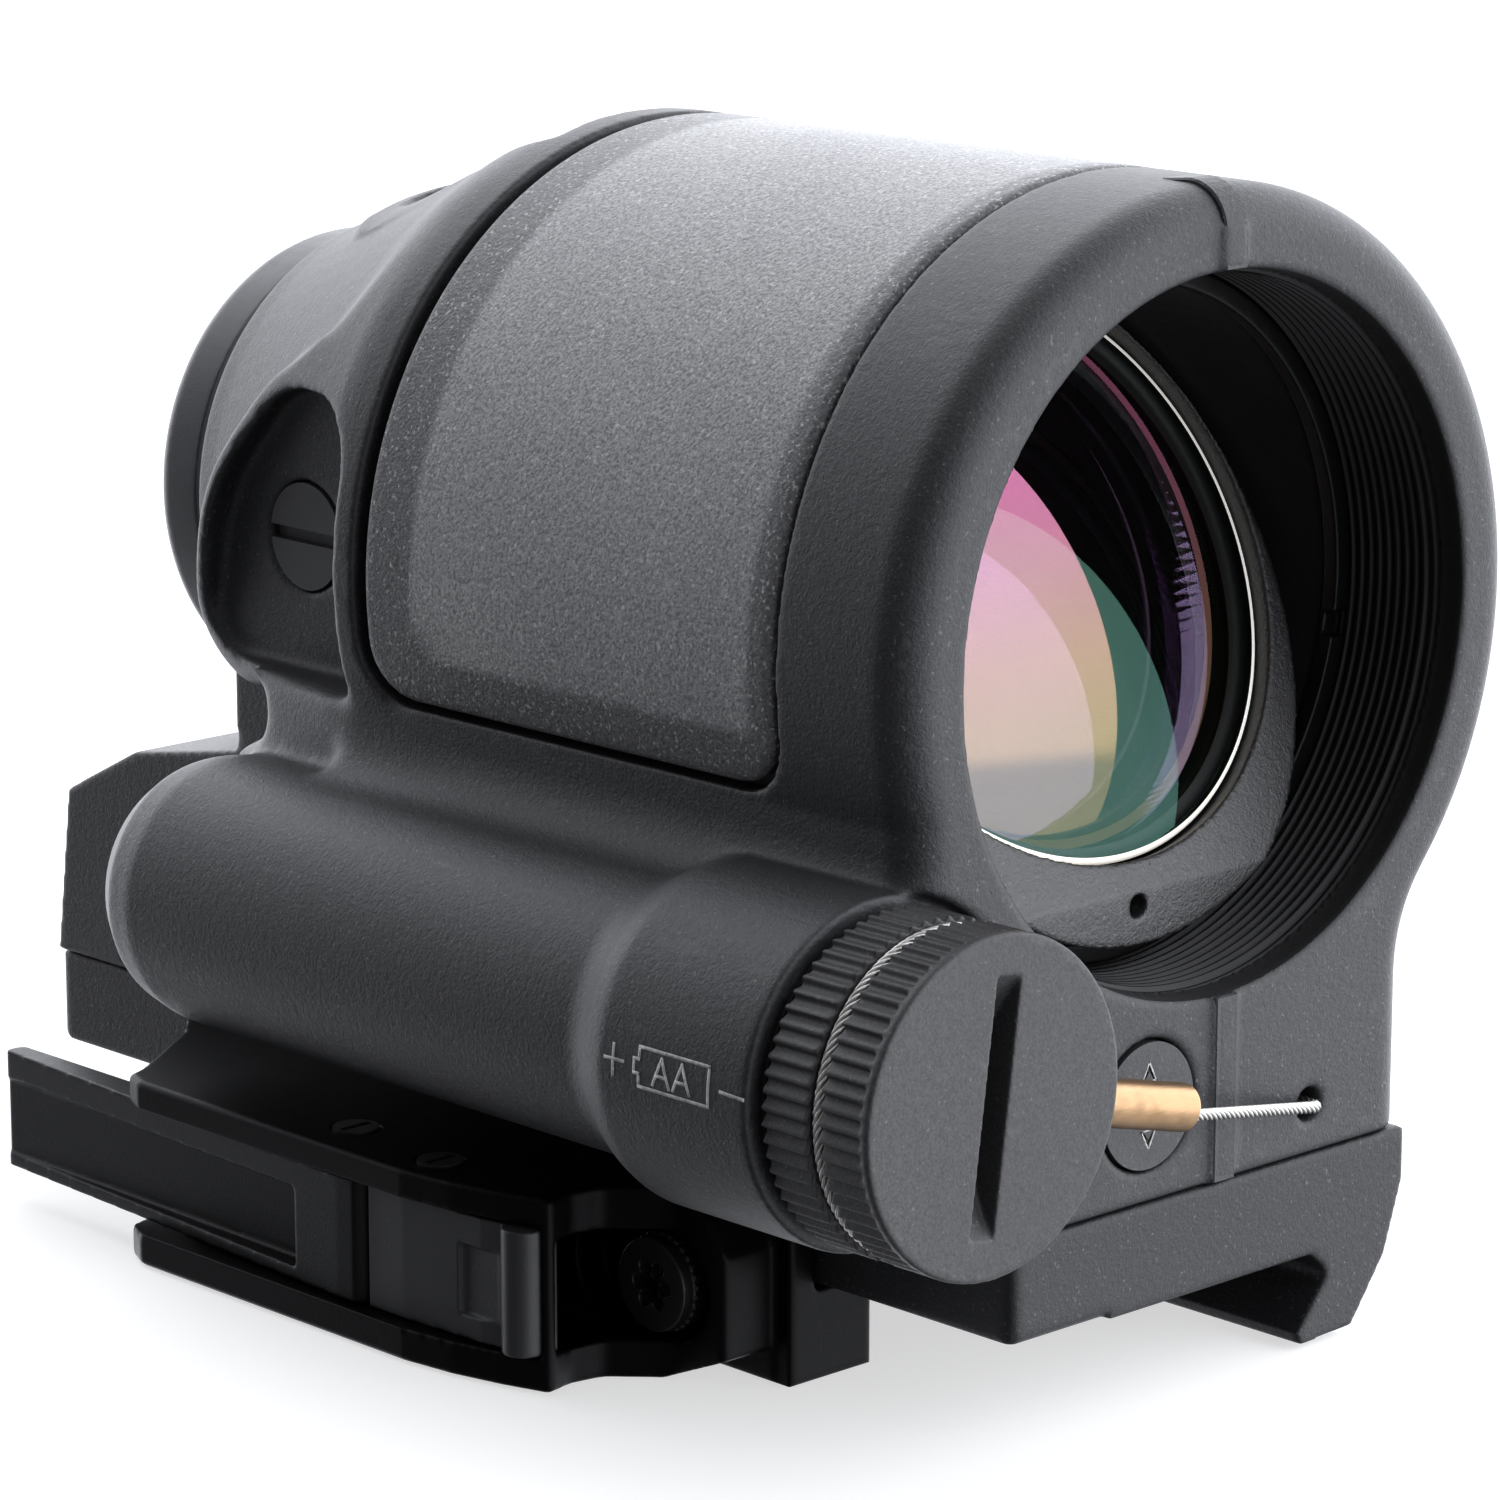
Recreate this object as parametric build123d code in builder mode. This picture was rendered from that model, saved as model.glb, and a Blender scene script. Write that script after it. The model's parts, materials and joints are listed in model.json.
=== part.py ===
import os
from math import asin, cos, degrees, pi, radians, sin, sqrt, tan
from build123d import *

os.makedirs("parts", exist_ok=True)

# Sealed red dot sight with a solar window, AA battery tube and quick-release rail clamp.
# Origin: middle of the rail seat. X across, Y along the optical axis (target end at -Y), Z up.

# ---- driving dimensions, mm ----
LENGTH = 93.7
FRONT_Y = -LENGTH / 2
AXIS_Z = 41.0            # optical axis above the rail seat
SEAM_Z = 6.7             # joint between the housing and the mount base
RING_R = 27.4            # outside of the front ring and the barrel
RING_EDGE = 2.8
BARREL_END = 52.0        # depth where the barrel gives way to the rear shoulder
PEDESTAL_W = 18.2
BASE_W = 17.9

MOUTH_R = 22.3           # front mouth of the bore
THREAD_R = 21.9
THREAD_START = 2.1
THREAD_PITCH = 0.75
THREAD_TURNS = 9
THREAD_DEEP = 0.42
BORE_R = 20.7
REAR_BORE_R = 15.2
HOUSING_END = 77.6       # depth of the housing's rear face
REAR_SPIGOT_R = 16.0

TUBE_X = -28.27          # battery tube axis
TUBE_Z = AXIS_Z - 21.92
TUBE_R = 9.0
TUBE_FRONT_R = 10.7
TUBE_END = 66.7
BATTERY_BORE_R = 7.6
CAP_BORE_R = 8.55
CAP_BORE_DEEP = 8.5
CAP_R = 10.25
CAP_FACE = -8.45
CAP_BACK = 0.7
CAP_TEETH = 64

WINDOW_FRONT = 10.8      # solar window along the barrel
WINDOW_REAR = 49.3
WINDOW_LOW = AXIS_Z - 7.65
WINDOW_FLOOR_R = 24.6
WINDOW_GAP = 0.4
WINDOW_REAR_GAP = 1.1

POCKET_FLOORS = {180: 21.6, 90: 19.9}    # adjuster pocket floors from the optical axis
ADJUSTER_Y = 60.9
ADJUSTER_RISE = 0.5
POCKET_INSETS = {180: 0, 90: -0.9}       # the top pocket is the smaller one
RIM_WALL = 1.0
ADJUSTER_R = 3.55

ADJUSTER_DEEP = 2.2

BAY_W = 11.2             # electronics bay in the pedestal
BAY_TOP = 16.2
BAY_FRONT = 12.0
BAY_REAR = 88.0
EMITTER_Y = 66.0
EMITTER_W = 2.6
BASE_SCREWS = [(x, FRONT_Y + depth) for x in (-14.2, 14.2) for depth in (8.0, 86.0)]
BASE_SCREW_R = 1.25

ROCKER_X = -6.2
ROCKER_Z = AXIS_Z - 28.1
ROCKER_R = 4.0
ROCKER_SEAT = 4.2
RIB_PROUD = 0.35
LANYARD_HOLE = (8.72, AXIS_Z - 31.06)
LANYARD_HOLE_R = 1.1
LANYARD_HOLE_DEEP = 10.0

PLATE_TOP = 6.6          # clamp body plates, above and below the lever
PLATE_T = 1.9
LOWER_PLATE_T = 2.2
CLAMP_LOW = -6.0
CLAMP_OUT = -34.4
LEVER_PIN = (-30.6, 45.8)
LATCH_PIN = (-31.3, 36.7)
PIN_R = 1.5
FIT = 0.05


def station(depth):
    """Plane across the sight at a depth behind the front face; local x is X and local y is Z."""
    return Plane.XZ.offset(-(FRONT_Y + depth))


def lathe(profile, x, z):
    """Solid turned about a line along Y through (x, z) from (depth, radius) points."""
    with BuildPart() as turned:
        with BuildSketch(Plane.YZ.offset(x)):
            with BuildLine():
                Polyline([(FRONT_Y + depth, z + radius) for depth, radius in profile], close=True)
            make_face()
        revolve(axis=Axis((x, 0, z), (0, 1, 0)))
    return turned.part


def side_plane(angle, height):
    """Plane outside the barrel at an angle about the optical axis; local x runs to the front."""
    out = Vector(cos(radians(angle)), 0, sin(radians(angle)))
    return Plane(origin=Vector(0, FRONT_Y, AXIS_Z) + out * height, x_dir=(0, -1, 0), z_dir=out)


def wrapped_shell(inner, outer, front, rear, low, corner):
    """Part of a tube round the optical axis, cut to a rounded rectangle seen from the side."""
    ring = [(front, inner), (front, outer), (rear, outer), (rear, inner)]
    with BuildPart() as shell:
        add(lathe(ring, 0, AXIS_Z))
        with BuildSketch(Plane.YZ):
            top = AXIS_Z + 60
            with Locations((FRONT_Y + (front + rear) / 2, (low + top) / 2)):
                RectangleRounded(rear - front, top - low, corner)
        extrude(amount=40, both=True, mode=Mode.INTERSECT)
    return shell.part


def pocket_outline(grow):
    """Rounded outline of an adjuster pocket in a side plane, grown outward by a margin."""
    with BuildSketch() as outline:
        with BuildLine():
            Polyline((-51.6, -8.3), (-51.6, 10.6), (-61.2, 10.6), (-68.2, 3.0), (-70.5, -8.3), close=True)
        make_face()
        corners = outline.vertices()
        fillet(corners.sort_by_distance((-51.6, 10.6))[0], 4.6)
        fillet(outline.vertices().sort_by_distance((-61.2, 10.6))[0], 6)
        fillet(outline.vertices().sort_by_distance((-68.2, 3.0))[0], 14)
        fillet(outline.vertices().sort_by_distance((-70.5, -8.3))[0], 3.4)
        fillet(outline.vertices().sort_by_distance((-51.6, -8.3))[0], 1.2)
        if grow:
            offset(amount=grow)
    return outline.sketch


# ---- main housing ----
SHOULDER = [(BARREL_END - 1, 5), (BARREL_END - 1, RING_R), (53.0, 27.3), (55.0, 26.7), (58.5, 24.9),
            (64.3, 22.5), (70.2, 20.2), (74.5, 18.6), (76.6, 18.0), (HOUSING_END, 17.2), (HOUSING_END, 5)]
SIDE_RIM = [(49, 10), (49, RING_R), (53, 27.25), (55, 26.8), (73, 22.8), (73, 10)]
TOP_RIM = [(49, 10), (49, RING_R), (53.5, 27.4), (55.5, 26.7), (58.5, 25.0), (64.3, 22.6), (68.0, 21.3),
           (71.0, 20.5), (72.4, 19.6), (73, 10)]

FAIRING = [(-65.6, 7.6), (-63.6, 10.2), (-60.7, 12.4), (-57.4, 15.6), (-55.4, 19.7), (-54.6, 24.5)]
WEB_SIDE = [(FRONT_Y + 49, 18), (FRONT_Y + 67, 18), (FRONT_Y + 67, 26.6), (FRONT_Y + 62.2, 28.6),
            (FRONT_Y + 62.2, 31.0), (FRONT_Y + 65, 33.6), (FRONT_Y + 49, 36)]
WEB_PLAN = [(-16, FRONT_Y + 49), (-26.2, FRONT_Y + 49), (-26.1, FRONT_Y + 53), (-24.6, FRONT_Y + 62),
            (-23.4, FRONT_Y + 67), (-16, FRONT_Y + 67)]

window_space = wrapped_shell(WINDOW_FLOOR_R, RING_R + 2, WINDOW_FRONT, WINDOW_REAR, WINDOW_LOW, 4.0)

bosses = []
for angle, rim in ((180, SIDE_RIM), (90, TOP_RIM)):
    with BuildPart() as boss:
        for draft in (-1, 1):
            with BuildSketch(side_plane(angle, 24)):
                add(pocket_outline(RIM_WALL + POCKET_INSETS[angle]))
            extrude(amount=draft * (5 if draft > 0 else 10), taper=draft * 22)
        if angle == 180:
            with BuildSketch(side_plane(angle, 18)):
                with BuildLine():
                    Spline(FAIRING)
                    Polyline(FAIRING[-1], (-50, 24.5), (-50, 6), (-64, 6), FAIRING[0])
                make_face()
            extrude(amount=12)
        add(lathe(rim, 0, AXIS_Z), mode=Mode.INTERSECT)
    bosses.append(boss.part)

# web that carries the rear half of the battery tube, necked in below the side boss
with BuildPart() as tube_web:
    with BuildSketch(Plane.YZ.offset(-16)) as web:
        with BuildLine():
            Polyline(WEB_SIDE, close=True)
        make_face()
        fillet(web.vertices().sort_by_distance(WEB_SIDE[3])[0], 1.6)
        fillet(web.vertices().sort_by_distance(WEB_SIDE[4])[0], 1.2)
    extrude(amount=-12)
    with BuildSketch(Plane.XY):
        with BuildLine():
            Polyline(WEB_PLAN, close=True)
        make_face()
    extrude(amount=60, mode=Mode.INTERSECT)

thread = []
for turn in range(THREAD_TURNS):
    start = THREAD_START + turn * THREAD_PITCH
    thread += [(start, THREAD_R), (start + THREAD_PITCH / 2, THREAD_R + THREAD_DEEP)]
thread_end = THREAD_START + THREAD_TURNS * THREAD_PITCH
BORE = [(-1, 0), (-1, MOUTH_R), (1.7, MOUTH_R)] + thread
BORE += [(thread_end, THREAD_R), (10.2, THREAD_R), (10.2, BORE_R), (30, BORE_R), (48, 19.0),
         (70, REAR_BORE_R), (75.4, REAR_BORE_R), (75.4, REAR_SPIGOT_R), (80, REAR_SPIGOT_R), (80, 0)]

TUBE_SKIN = [(0, 0), (0, TUBE_FRONT_R), (13.6, TUBE_FRONT_R), (15.2, 10.2), (16.4, 9.4), (17.8, TUBE_R),
             (60.5, TUBE_R), (63.0, 8.5), (65.2, 7.1), (66.5, 5.2), (TUBE_END, 3.0), (TUBE_END, 0)]

with BuildPart() as main_housing:
    with BuildSketch(station(0)) as section:
        with Locations((0, AXIS_Z)):
            Circle(RING_R)
        with Locations((0, (SEAM_Z + AXIS_Z) / 2)):
            Rectangle(2 * PEDESTAL_W, AXIS_Z - SEAM_Z)
        with Locations((TUBE_X, TUBE_Z)):
            Circle(TUBE_R)
        with BuildLine():
            Polyline((-26.2, AXIS_Z - 6), (-26.2, TUBE_Z), (TUBE_X, TUBE_Z), (TUBE_X, TUBE_Z - TUBE_R),
                     (0, TUBE_Z - TUBE_R), (0, AXIS_Z - 6), close=True)
        make_face()
        flank = sqrt(RING_R ** 2 - PEDESTAL_W ** 2)
        fillet(section.vertices().sort_by_distance((PEDESTAL_W, AXIS_Z - flank))[0], 9)
        fillet(section.vertices().sort_by_distance((-26.2, TUBE_Z + 8.8))[0], 3.5)
    extrude(amount=-BARREL_END)
    front_edges = main_housing.faces().sort_by(Axis.Y)[0].outer_wire().edges()
    fillet(front_edges.filter_by(lambda edge: edge.center().Z > SEAM_Z + 0.5), RING_EDGE)
    add(lathe(TUBE_SKIN, TUBE_X, TUBE_Z))
    add(lathe(SHOULDER, 0, AXIS_Z))
    # rear pedestal with its sloping top
    with BuildSketch(Plane.YZ):
        with BuildLine():
            Polyline((FRONT_Y + 49, SEAM_Z), (FRONT_Y + 93.6, SEAM_Z), (FRONT_Y + 92.0, AXIS_Z - 22.3),
                     (FRONT_Y + 84.3, AXIS_Z - 18.4), (FRONT_Y + 73, AXIS_Z - 16.4),
                     (FRONT_Y + 73, AXIS_Z), (FRONT_Y + 49, AXIS_Z), close=True)
        make_face()
    extrude(amount=PEDESTAL_W, both=True)
    add(tube_web.part)
    for boss_solid in bosses:
        add(boss_solid)
    # optics bore and battery bore
    add(lathe(BORE, 0, AXIS_Z), mode=Mode.SUBTRACT)
    battery_hole = [(-1, 0), (-1, CAP_BORE_R), (CAP_BORE_DEEP, CAP_BORE_R), (CAP_BORE_DEEP, BATTERY_BORE_R),
                    (61.0, BATTERY_BORE_R), (61.0, 0)]
    add(lathe(battery_hole, TUBE_X, TUBE_Z), mode=Mode.SUBTRACT)
    cap_seat = [(-1, 0), (-1, CAP_R + 0.5), (1.0, CAP_R + 0.5), (1.0, 0)]
    add(lathe(cap_seat, TUBE_X, TUBE_Z), mode=Mode.SUBTRACT)
    add(window_space, mode=Mode.SUBTRACT)
    # adjuster pockets on the -X side and on top
    for angle in (180, 90):
        with BuildSketch(side_plane(angle, POCKET_FLOORS[angle])):
            add(pocket_outline(POCKET_INSETS[angle]))
        extrude(amount=15, mode=Mode.SUBTRACT)
        with BuildSketch(side_plane(angle, POCKET_FLOORS[angle])):
            with Locations((-ADJUSTER_Y, ADJUSTER_RISE)):
                Circle(ADJUSTER_R + FIT)
        extrude(amount=-ADJUSTER_DEEP, mode=Mode.SUBTRACT)
    # electronics bay in the pedestal and its openings to the battery and to the bore
    with Locations((0, FRONT_Y + (BAY_FRONT + BAY_REAR) / 2, (SEAM_Z + BAY_TOP) / 2)):
        Box(2 * BAY_W, BAY_REAR - BAY_FRONT, BAY_TOP - SEAM_Z, mode=Mode.SUBTRACT)
    with Locations((0, FRONT_Y + EMITTER_Y, BAY_TOP + 4)):
        Box(2 * EMITTER_W + 0.6, 9.0, 14, mode=Mode.SUBTRACT)
    with Locations(Location((-15, FRONT_Y + 57, BAY_TOP - 2), (0, 90, 0))):
        Cylinder(1.2, 14, mode=Mode.SUBTRACT)
    # brightness rocker seat, lanyard hole, base screw holes
    with BuildSketch(station(0)):
        with Locations((ROCKER_X, ROCKER_Z)):
            Circle(ROCKER_R + 0.15)
    extrude(amount=-ROCKER_SEAT, mode=Mode.SUBTRACT)
    with BuildSketch(station(0)):
        with Locations((ROCKER_X, ROCKER_Z)):
            Circle(1.5)
    extrude(amount=-BAY_FRONT - 1, mode=Mode.SUBTRACT)
    with BuildSketch(station(0)):
        with Locations(LANYARD_HOLE):
            Circle(LANYARD_HOLE_R)
    extrude(amount=-LANYARD_HOLE_DEEP, mode=Mode.SUBTRACT)
    with BuildSketch(Plane.XY.offset(SEAM_Z)):
        with Locations(BASE_SCREWS):
            Circle(BASE_SCREW_R)
    extrude(amount=7.2, mode=Mode.SUBTRACT)
    # parting rib down the middle of the front face
    with BuildSketch(station(-RIB_PROUD)):
        with Locations((0.4, SEAM_Z + 6)):
            Rectangle(2.0, 12)
        with Locations((0, AXIS_Z + 23.8)):
            Rectangle(2.0, 2.6)
    extrude(amount=-1.2)
main_housing.part.label = "main_housing"
export_step(main_housing.part, "parts/main_housing.step")

# ---- mount base with the fixed rail jaw ----
JAW_LOW = -5.8
SEAT_STEP = 0.1          # the base is relieved beside the rail seat
JAW = [(-BASE_W, SEAT_STEP), (-BASE_W, SEAM_Z - 0.02), (BASE_W, SEAM_Z - 0.02), (BASE_W, 3.2), (16.3, -1.5),
       (13.2, JAW_LOW + 0.15), (8.3, JAW_LOW), (8.0, -5.0), (10.6, -1.9), (10.6, -1.3), (9.2, 0),
       (-9.3, 0), (-9.3, SEAT_STEP)]
LUG_Y = 38.0
CLAMP_SCREWS = [(-16.3, FRONT_Y + depth) for depth in (20.5, 72.5)]
CLAMP_SCREW_R = 1.45

with BuildPart() as mount_base:
    with BuildSketch(station(0)) as jaw_section:
        with BuildLine():
            Polyline(JAW, close=True)
        make_face()
        fillet(jaw_section.vertices().sort_by_distance((BASE_W, 3.2))[0], 3)
        fillet(jaw_section.vertices().sort_by_distance((16.3, -1.5))[0], 3)
        fillet(jaw_section.vertices().sort_by_distance((13.2, JAW_LOW + 0.15))[0], 0.8)
        fillet(jaw_section.vertices().sort_by_distance((-BASE_W, SEAT_STEP))[0], 0.5)
    extrude(amount=-LENGTH)
    uprights = mount_base.edges().filter_by(Axis.Z).sort_by(SortBy.LENGTH)[-3:]
    fillet(uprights, 0.8)
    # cross lug that drops into a rail slot
    with Locations((0, FRONT_Y + LUG_Y, -1.1)):
        Box(15.6, 5.0, 2.3)
    # screws up into the housing, with access holes through the jaw
    with BuildSketch(Plane.XY.offset(-8)):
        with Locations(BASE_SCREWS):
            Circle(2.6)
    extrude(amount=11, mode=Mode.SUBTRACT)
    with BuildSketch(Plane.XY.offset(-8)):
        with Locations(BASE_SCREWS):
            Circle(BASE_SCREW_R + 0.15)
    extrude(amount=20, mode=Mode.SUBTRACT)
    with BuildSketch(Plane.XY.offset(-1)):
        with Locations(CLAMP_SCREWS):
            Circle(CLAMP_SCREW_R + FIT)
    extrude(amount=6.2, mode=Mode.SUBTRACT)
mount_base.part.label = "mount_base"
export_step(mount_base.part, "parts/mount_base.step")

# ---- screws that hold the base to the housing (one shape, four places) ----
for number, (x, y) in enumerate(BASE_SCREWS, start=1):
    with BuildPart() as base_screw:
        with Locations((x, y, 0.6)):
            Cylinder(2.3, 2.3, align=(Align.CENTER, Align.CENTER, Align.MIN))
        with Locations((x, y, 2.8)):
            Cylinder(BASE_SCREW_R - FIT, 9.4, align=(Align.CENTER, Align.CENTER, Align.MIN))
        with BuildSketch(Plane.XY.offset(0.6)):
            with Locations((x, y)):
                RegularPolygon(1.15, 6)
        extrude(amount=1.2, mode=Mode.SUBTRACT)
    base_screw.part.label = f"base_screw_{number}"
    export_step(base_screw.part, f"parts/base_screw_{number}.step")

# ---- clamp body: two plates with the lever between them, a front lobe and the jaw block ----
CLAMP_PLAN = [(-13.2, 16.7), (-20.2, 16.7), (-20.2, 18.2), (-24.5, 18.2), (-24.5, 23.0), (-27.4, 26.0),
              (-29.6, 26.4), (-31.9, 25.9), (-33.0, 29.3), (-33.9, 33.0), (CLAMP_OUT, 37.0),
              (CLAMP_OUT, 63.6), (-33.5, 65.6), (-31.6, 66.2), (-24.7, 70.9), (-20.2, 76.0), (-13.2, 76.0)]
BASE_GAP = 0.12
LEVER_BAY_X = -24.6
LEVER_BAY_Y = 26.5
JAW_FRONT = 29.0
JAW_REAR = 68.0
JAW_TRAVEL = 2.4
ROD_Z = -2.6
ROD_R = 1.4
RODS = (35.0, 62.0)
KNOB_Y = 24.0
KNOB_Z = 0.1
KNOB_R = 3.2
KNOB_POCKET_R = 3.55
KNOB_POCKET_FRONT = 19.6
KNOB_OUT = -25.2
LOBE_CHIN = -3.7         # the lobe's front face stands between these levels
LOBE_BROW = 2.8

with BuildPart() as clamp_body:
    with BuildSketch(Plane.XY.offset(CLAMP_LOW)) as plan:
        with BuildLine():
            Polyline([(x, FRONT_Y + depth) for x, depth in CLAMP_PLAN], close=True)
        make_face()
        fillet(plan.vertices().sort_by_distance((-24.5, FRONT_Y + 23.0))[0], 2.0)
        fillet(plan.vertices().sort_by_distance((-27.4, FRONT_Y + 26.0))[0], 1.5)
        fillet(plan.vertices().sort_by_distance((-29.6, FRONT_Y + 26.4))[0], 1.5)
        fillet(plan.vertices().sort_by_distance((-31.9, FRONT_Y + 25.9))[0], 0.5)
        fillet(plan.vertices().sort_by_distance((-24.5, FRONT_Y + 18.2))[0], 0.5)
    extrude(amount=PLATE_TOP - CLAMP_LOW)
    middle_z = (PLATE_TOP + CLAMP_LOW) / 2
    outer_rims = clamp_body.edges().filter_by(lambda edge: edge.center().X < -32.5
                                              and abs(edge.center().Z - middle_z) > 5)
    fillet(outer_rims, 0.4)
    # the lobe narrows to its front face above and below
    with BuildSketch(Plane.YZ.offset(-20.3)):
        with BuildLine():
            Polyline((FRONT_Y + 17, PLATE_TOP + 1), (FRONT_Y + 17, LOBE_BROW), (FRONT_Y + 18.2, LOBE_BROW),
                     (FRONT_Y + 19.6, 5.2), (FRONT_Y + 23.6, PLATE_TOP), (FRONT_Y + 23.6, PLATE_TOP + 1),
                     close=True)
        make_face()
        with BuildLine():
            Polyline((FRONT_Y + 17, CLAMP_LOW - 1), (FRONT_Y + 17, LOBE_CHIN), (FRONT_Y + 18.2, LOBE_CHIN),
                     (FRONT_Y + 23.6, CLAMP_LOW), (FRONT_Y + 23.6, CLAMP_LOW - 1), close=True)
        make_face()
    extrude(amount=-6, mode=Mode.SUBTRACT)
    # room for the base above the jaw block
    with Locations((0, FRONT_Y + 46, 5 - BASE_GAP)):
        Box(2 * (BASE_W + BASE_GAP), 100, 10, mode=Mode.SUBTRACT)
    # bay for the lever, open outward and to the rear
    bay_low = CLAMP_LOW + LOWER_PLATE_T
    bay_high = PLATE_TOP - PLATE_T
    with Locations((LEVER_BAY_X - 6, FRONT_Y + LEVER_BAY_Y + 30, (bay_low + bay_high) / 2)):
        Box(12, 60, bay_high - bay_low, mode=Mode.SUBTRACT)
    # slot for the moving jaw and bores for its guide rods
    slot_low = CLAMP_LOW - 1
    with Locations((-15.7, FRONT_Y + (JAW_FRONT + JAW_REAR) / 2, (slot_low + 0) / 2)):
        Box(6.0, JAW_REAR - JAW_FRONT + 0.6, -slot_low, mode=Mode.SUBTRACT)
    for depth in RODS:
        with Locations(Location((-22, FRONT_Y + depth, ROD_Z), (0, 90, 0))):
            Cylinder(ROD_R + FIT, 12, mode=Mode.SUBTRACT)
    # pocket and thread for the tension screw
    with BuildSketch(Plane.YZ.offset(-22.2)):
        with Locations((FRONT_Y + KNOB_POCKET_FRONT + 6, KNOB_Z)):
            SlotOverall(12, 2 * KNOB_POCKET_R)
    extrude(amount=-9, mode=Mode.SUBTRACT)
    with Locations(Location((-21, FRONT_Y + KNOB_Y, KNOB_Z), (0, 90, 0))):
        Cylinder(1.5 + FIT, 5.0, mode=Mode.SUBTRACT)
    for x, depth in (LEVER_PIN, LATCH_PIN):
        with Locations((x, FRONT_Y + depth, 0)):
            Cylinder(PIN_R + FIT, 30, mode=Mode.SUBTRACT)
    with BuildSketch(Plane.XY.offset(CLAMP_LOW)):
        with Locations(CLAMP_SCREWS):
            Circle(2.5)
    extrude(amount=1.9, mode=Mode.SUBTRACT)
    with BuildSketch(Plane.XY.offset(CLAMP_LOW)):
        with Locations(CLAMP_SCREWS):
            Circle(CLAMP_SCREW_R + 0.1)
    extrude(amount=8, mode=Mode.SUBTRACT)
clamp_body.part.label = "clamp_body"
export_step(clamp_body.part, "parts/clamp_body.step")

for number, (x, y) in enumerate(CLAMP_SCREWS, start=1):
    with BuildPart() as clamp_screw:
        with Locations((x, y, CLAMP_LOW + 0.1)):
            Cylinder(2.3, 1.75, align=(Align.CENTER, Align.CENTER, Align.MIN))
            Cylinder(CLAMP_SCREW_R - 0.02, 9.8, align=(Align.CENTER, Align.CENTER, Align.MIN))
        with BuildSketch(Plane.XY.offset(CLAMP_LOW + 0.1)):
            with Locations((x, y)):
                RegularPolygon(1.15, 6)
        extrude(amount=1.1, mode=Mode.SUBTRACT)
    clamp_screw.part.label = f"clamp_screw_{number}"
    export_step(clamp_screw.part, f"parts/clamp_screw_{number}.step")

# ---- moving rail jaw on its two guide rods ----
with BuildPart() as moving_jaw:
    with BuildSketch(station(JAW_FRONT)):
        with BuildLine():
            Polyline((-15.9, -0.3), (-9.4, -0.3), (-10.6, -1.5), (-10.6, -1.9), (-8.0, -5.0), (-8.3, -5.8),
                     (-15.9, -5.8), close=True)
        make_face()
    extrude(amount=-(JAW_REAR - JAW_FRONT))
    for depth in RODS:
        with Locations(Location((-19.4, FRONT_Y + depth, ROD_Z), (0, 90, 0))):
            Cylinder(ROD_R, 8.0)
moving_jaw.part.label = "moving_jaw"
export_step(moving_jaw.part, "parts/moving_jaw.step")

# ---- throw lever, its latch and their pins ----
LEVER_LOW = CLAMP_LOW + LOWER_PLATE_T + 0.2
LEVER_HIGH = PLATE_TOP - PLATE_T - 0.2
LEVER_END = 81.6
NOSE_R = 4.7
pin_x, pin_y = LEVER_PIN

with BuildPart() as throw_lever:
    with BuildSketch(Plane.XY.offset(LEVER_LOW)) as blade:
        with BuildLine():
            Polyline((-33.8, FRONT_Y + 40), (-27.2, FRONT_Y + 40), (-27.2, FRONT_Y + 49),
                     (-30.2, FRONT_Y + 57), (-30.2, FRONT_Y + LEVER_END), (-31.8, FRONT_Y + LEVER_END),
                     (-33.8, FRONT_Y + 44), close=True)
        make_face()
        with Locations((pin_x, FRONT_Y + pin_y + 20)):
            nose = Rectangle(2 * NOSE_R + 4, 40, mode=Mode.PRIVATE)
        with Locations((pin_x, FRONT_Y + pin_y)):
            nose_tip = Circle(NOSE_R, mode=Mode.PRIVATE)
        add(nose + nose_tip, mode=Mode.INTERSECT)
        fillet(blade.vertices().sort_by_distance((-30.2, FRONT_Y + LEVER_END))[0], 0.5)
        fillet(blade.vertices().sort_by_distance((-31.8, FRONT_Y + LEVER_END))[0], 0.5)
        fillet(blade.vertices().sort_by_distance((-30.2, FRONT_Y + 57))[0], 6)
        fillet(blade.vertices().sort_by_distance((-27.2, FRONT_Y + 49))[0], 3)
    extrude(amount=LEVER_HIGH - LEVER_LOW)
    # long finger recess, deepest at its front end
    with BuildSketch(Plane.XY.offset(-2.7)):
        with BuildLine():
            Polyline((-36, FRONT_Y + 48.6), (-32.2, FRONT_Y + 48.6), (-31.55, FRONT_Y + 82),
                     (-36, FRONT_Y + 82), close=True)
        make_face()
    extrude(amount=5.3, mode=Mode.SUBTRACT)
    with Locations((pin_x, FRONT_Y + pin_y, 0)):
        Cylinder(PIN_R + FIT, 30, mode=Mode.SUBTRACT)
throw_lever.part.label = "throw_lever"
export_step(throw_lever.part, "parts/throw_lever.step")

with BuildPart() as lever_latch:
    with BuildSketch(Plane.XY.offset(LEVER_LOW)) as tongue:
        with BuildLine():
            Polyline((-33.4, FRONT_Y + 43), (-28.6, FRONT_Y + 43), (-28.6, FRONT_Y + 31),
                     (-30.6, FRONT_Y + 26.6), (-32.2, FRONT_Y + 26.6), (-33.0, FRONT_Y + 31),
                     (-33.4, FRONT_Y + 38), close=True)
        make_face()
        with Locations((-32.2, FRONT_Y + 28.0)):
            Circle(1.35)
        with Locations((pin_x, FRONT_Y + pin_y)):
            Circle(NOSE_R + 0.5, mode=Mode.SUBTRACT)
    extrude(amount=LEVER_HIGH - LEVER_LOW)
    with Locations((-33.4, FRONT_Y + 31.3, 0.2)):
        Box(1.4, 3.4, 4.6, mode=Mode.SUBTRACT)
    with Locations((LATCH_PIN[0], FRONT_Y + LATCH_PIN[1], 0)):
        Cylinder(PIN_R + FIT, 30, mode=Mode.SUBTRACT)
lever_latch.part.label = "lever_latch"
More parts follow.
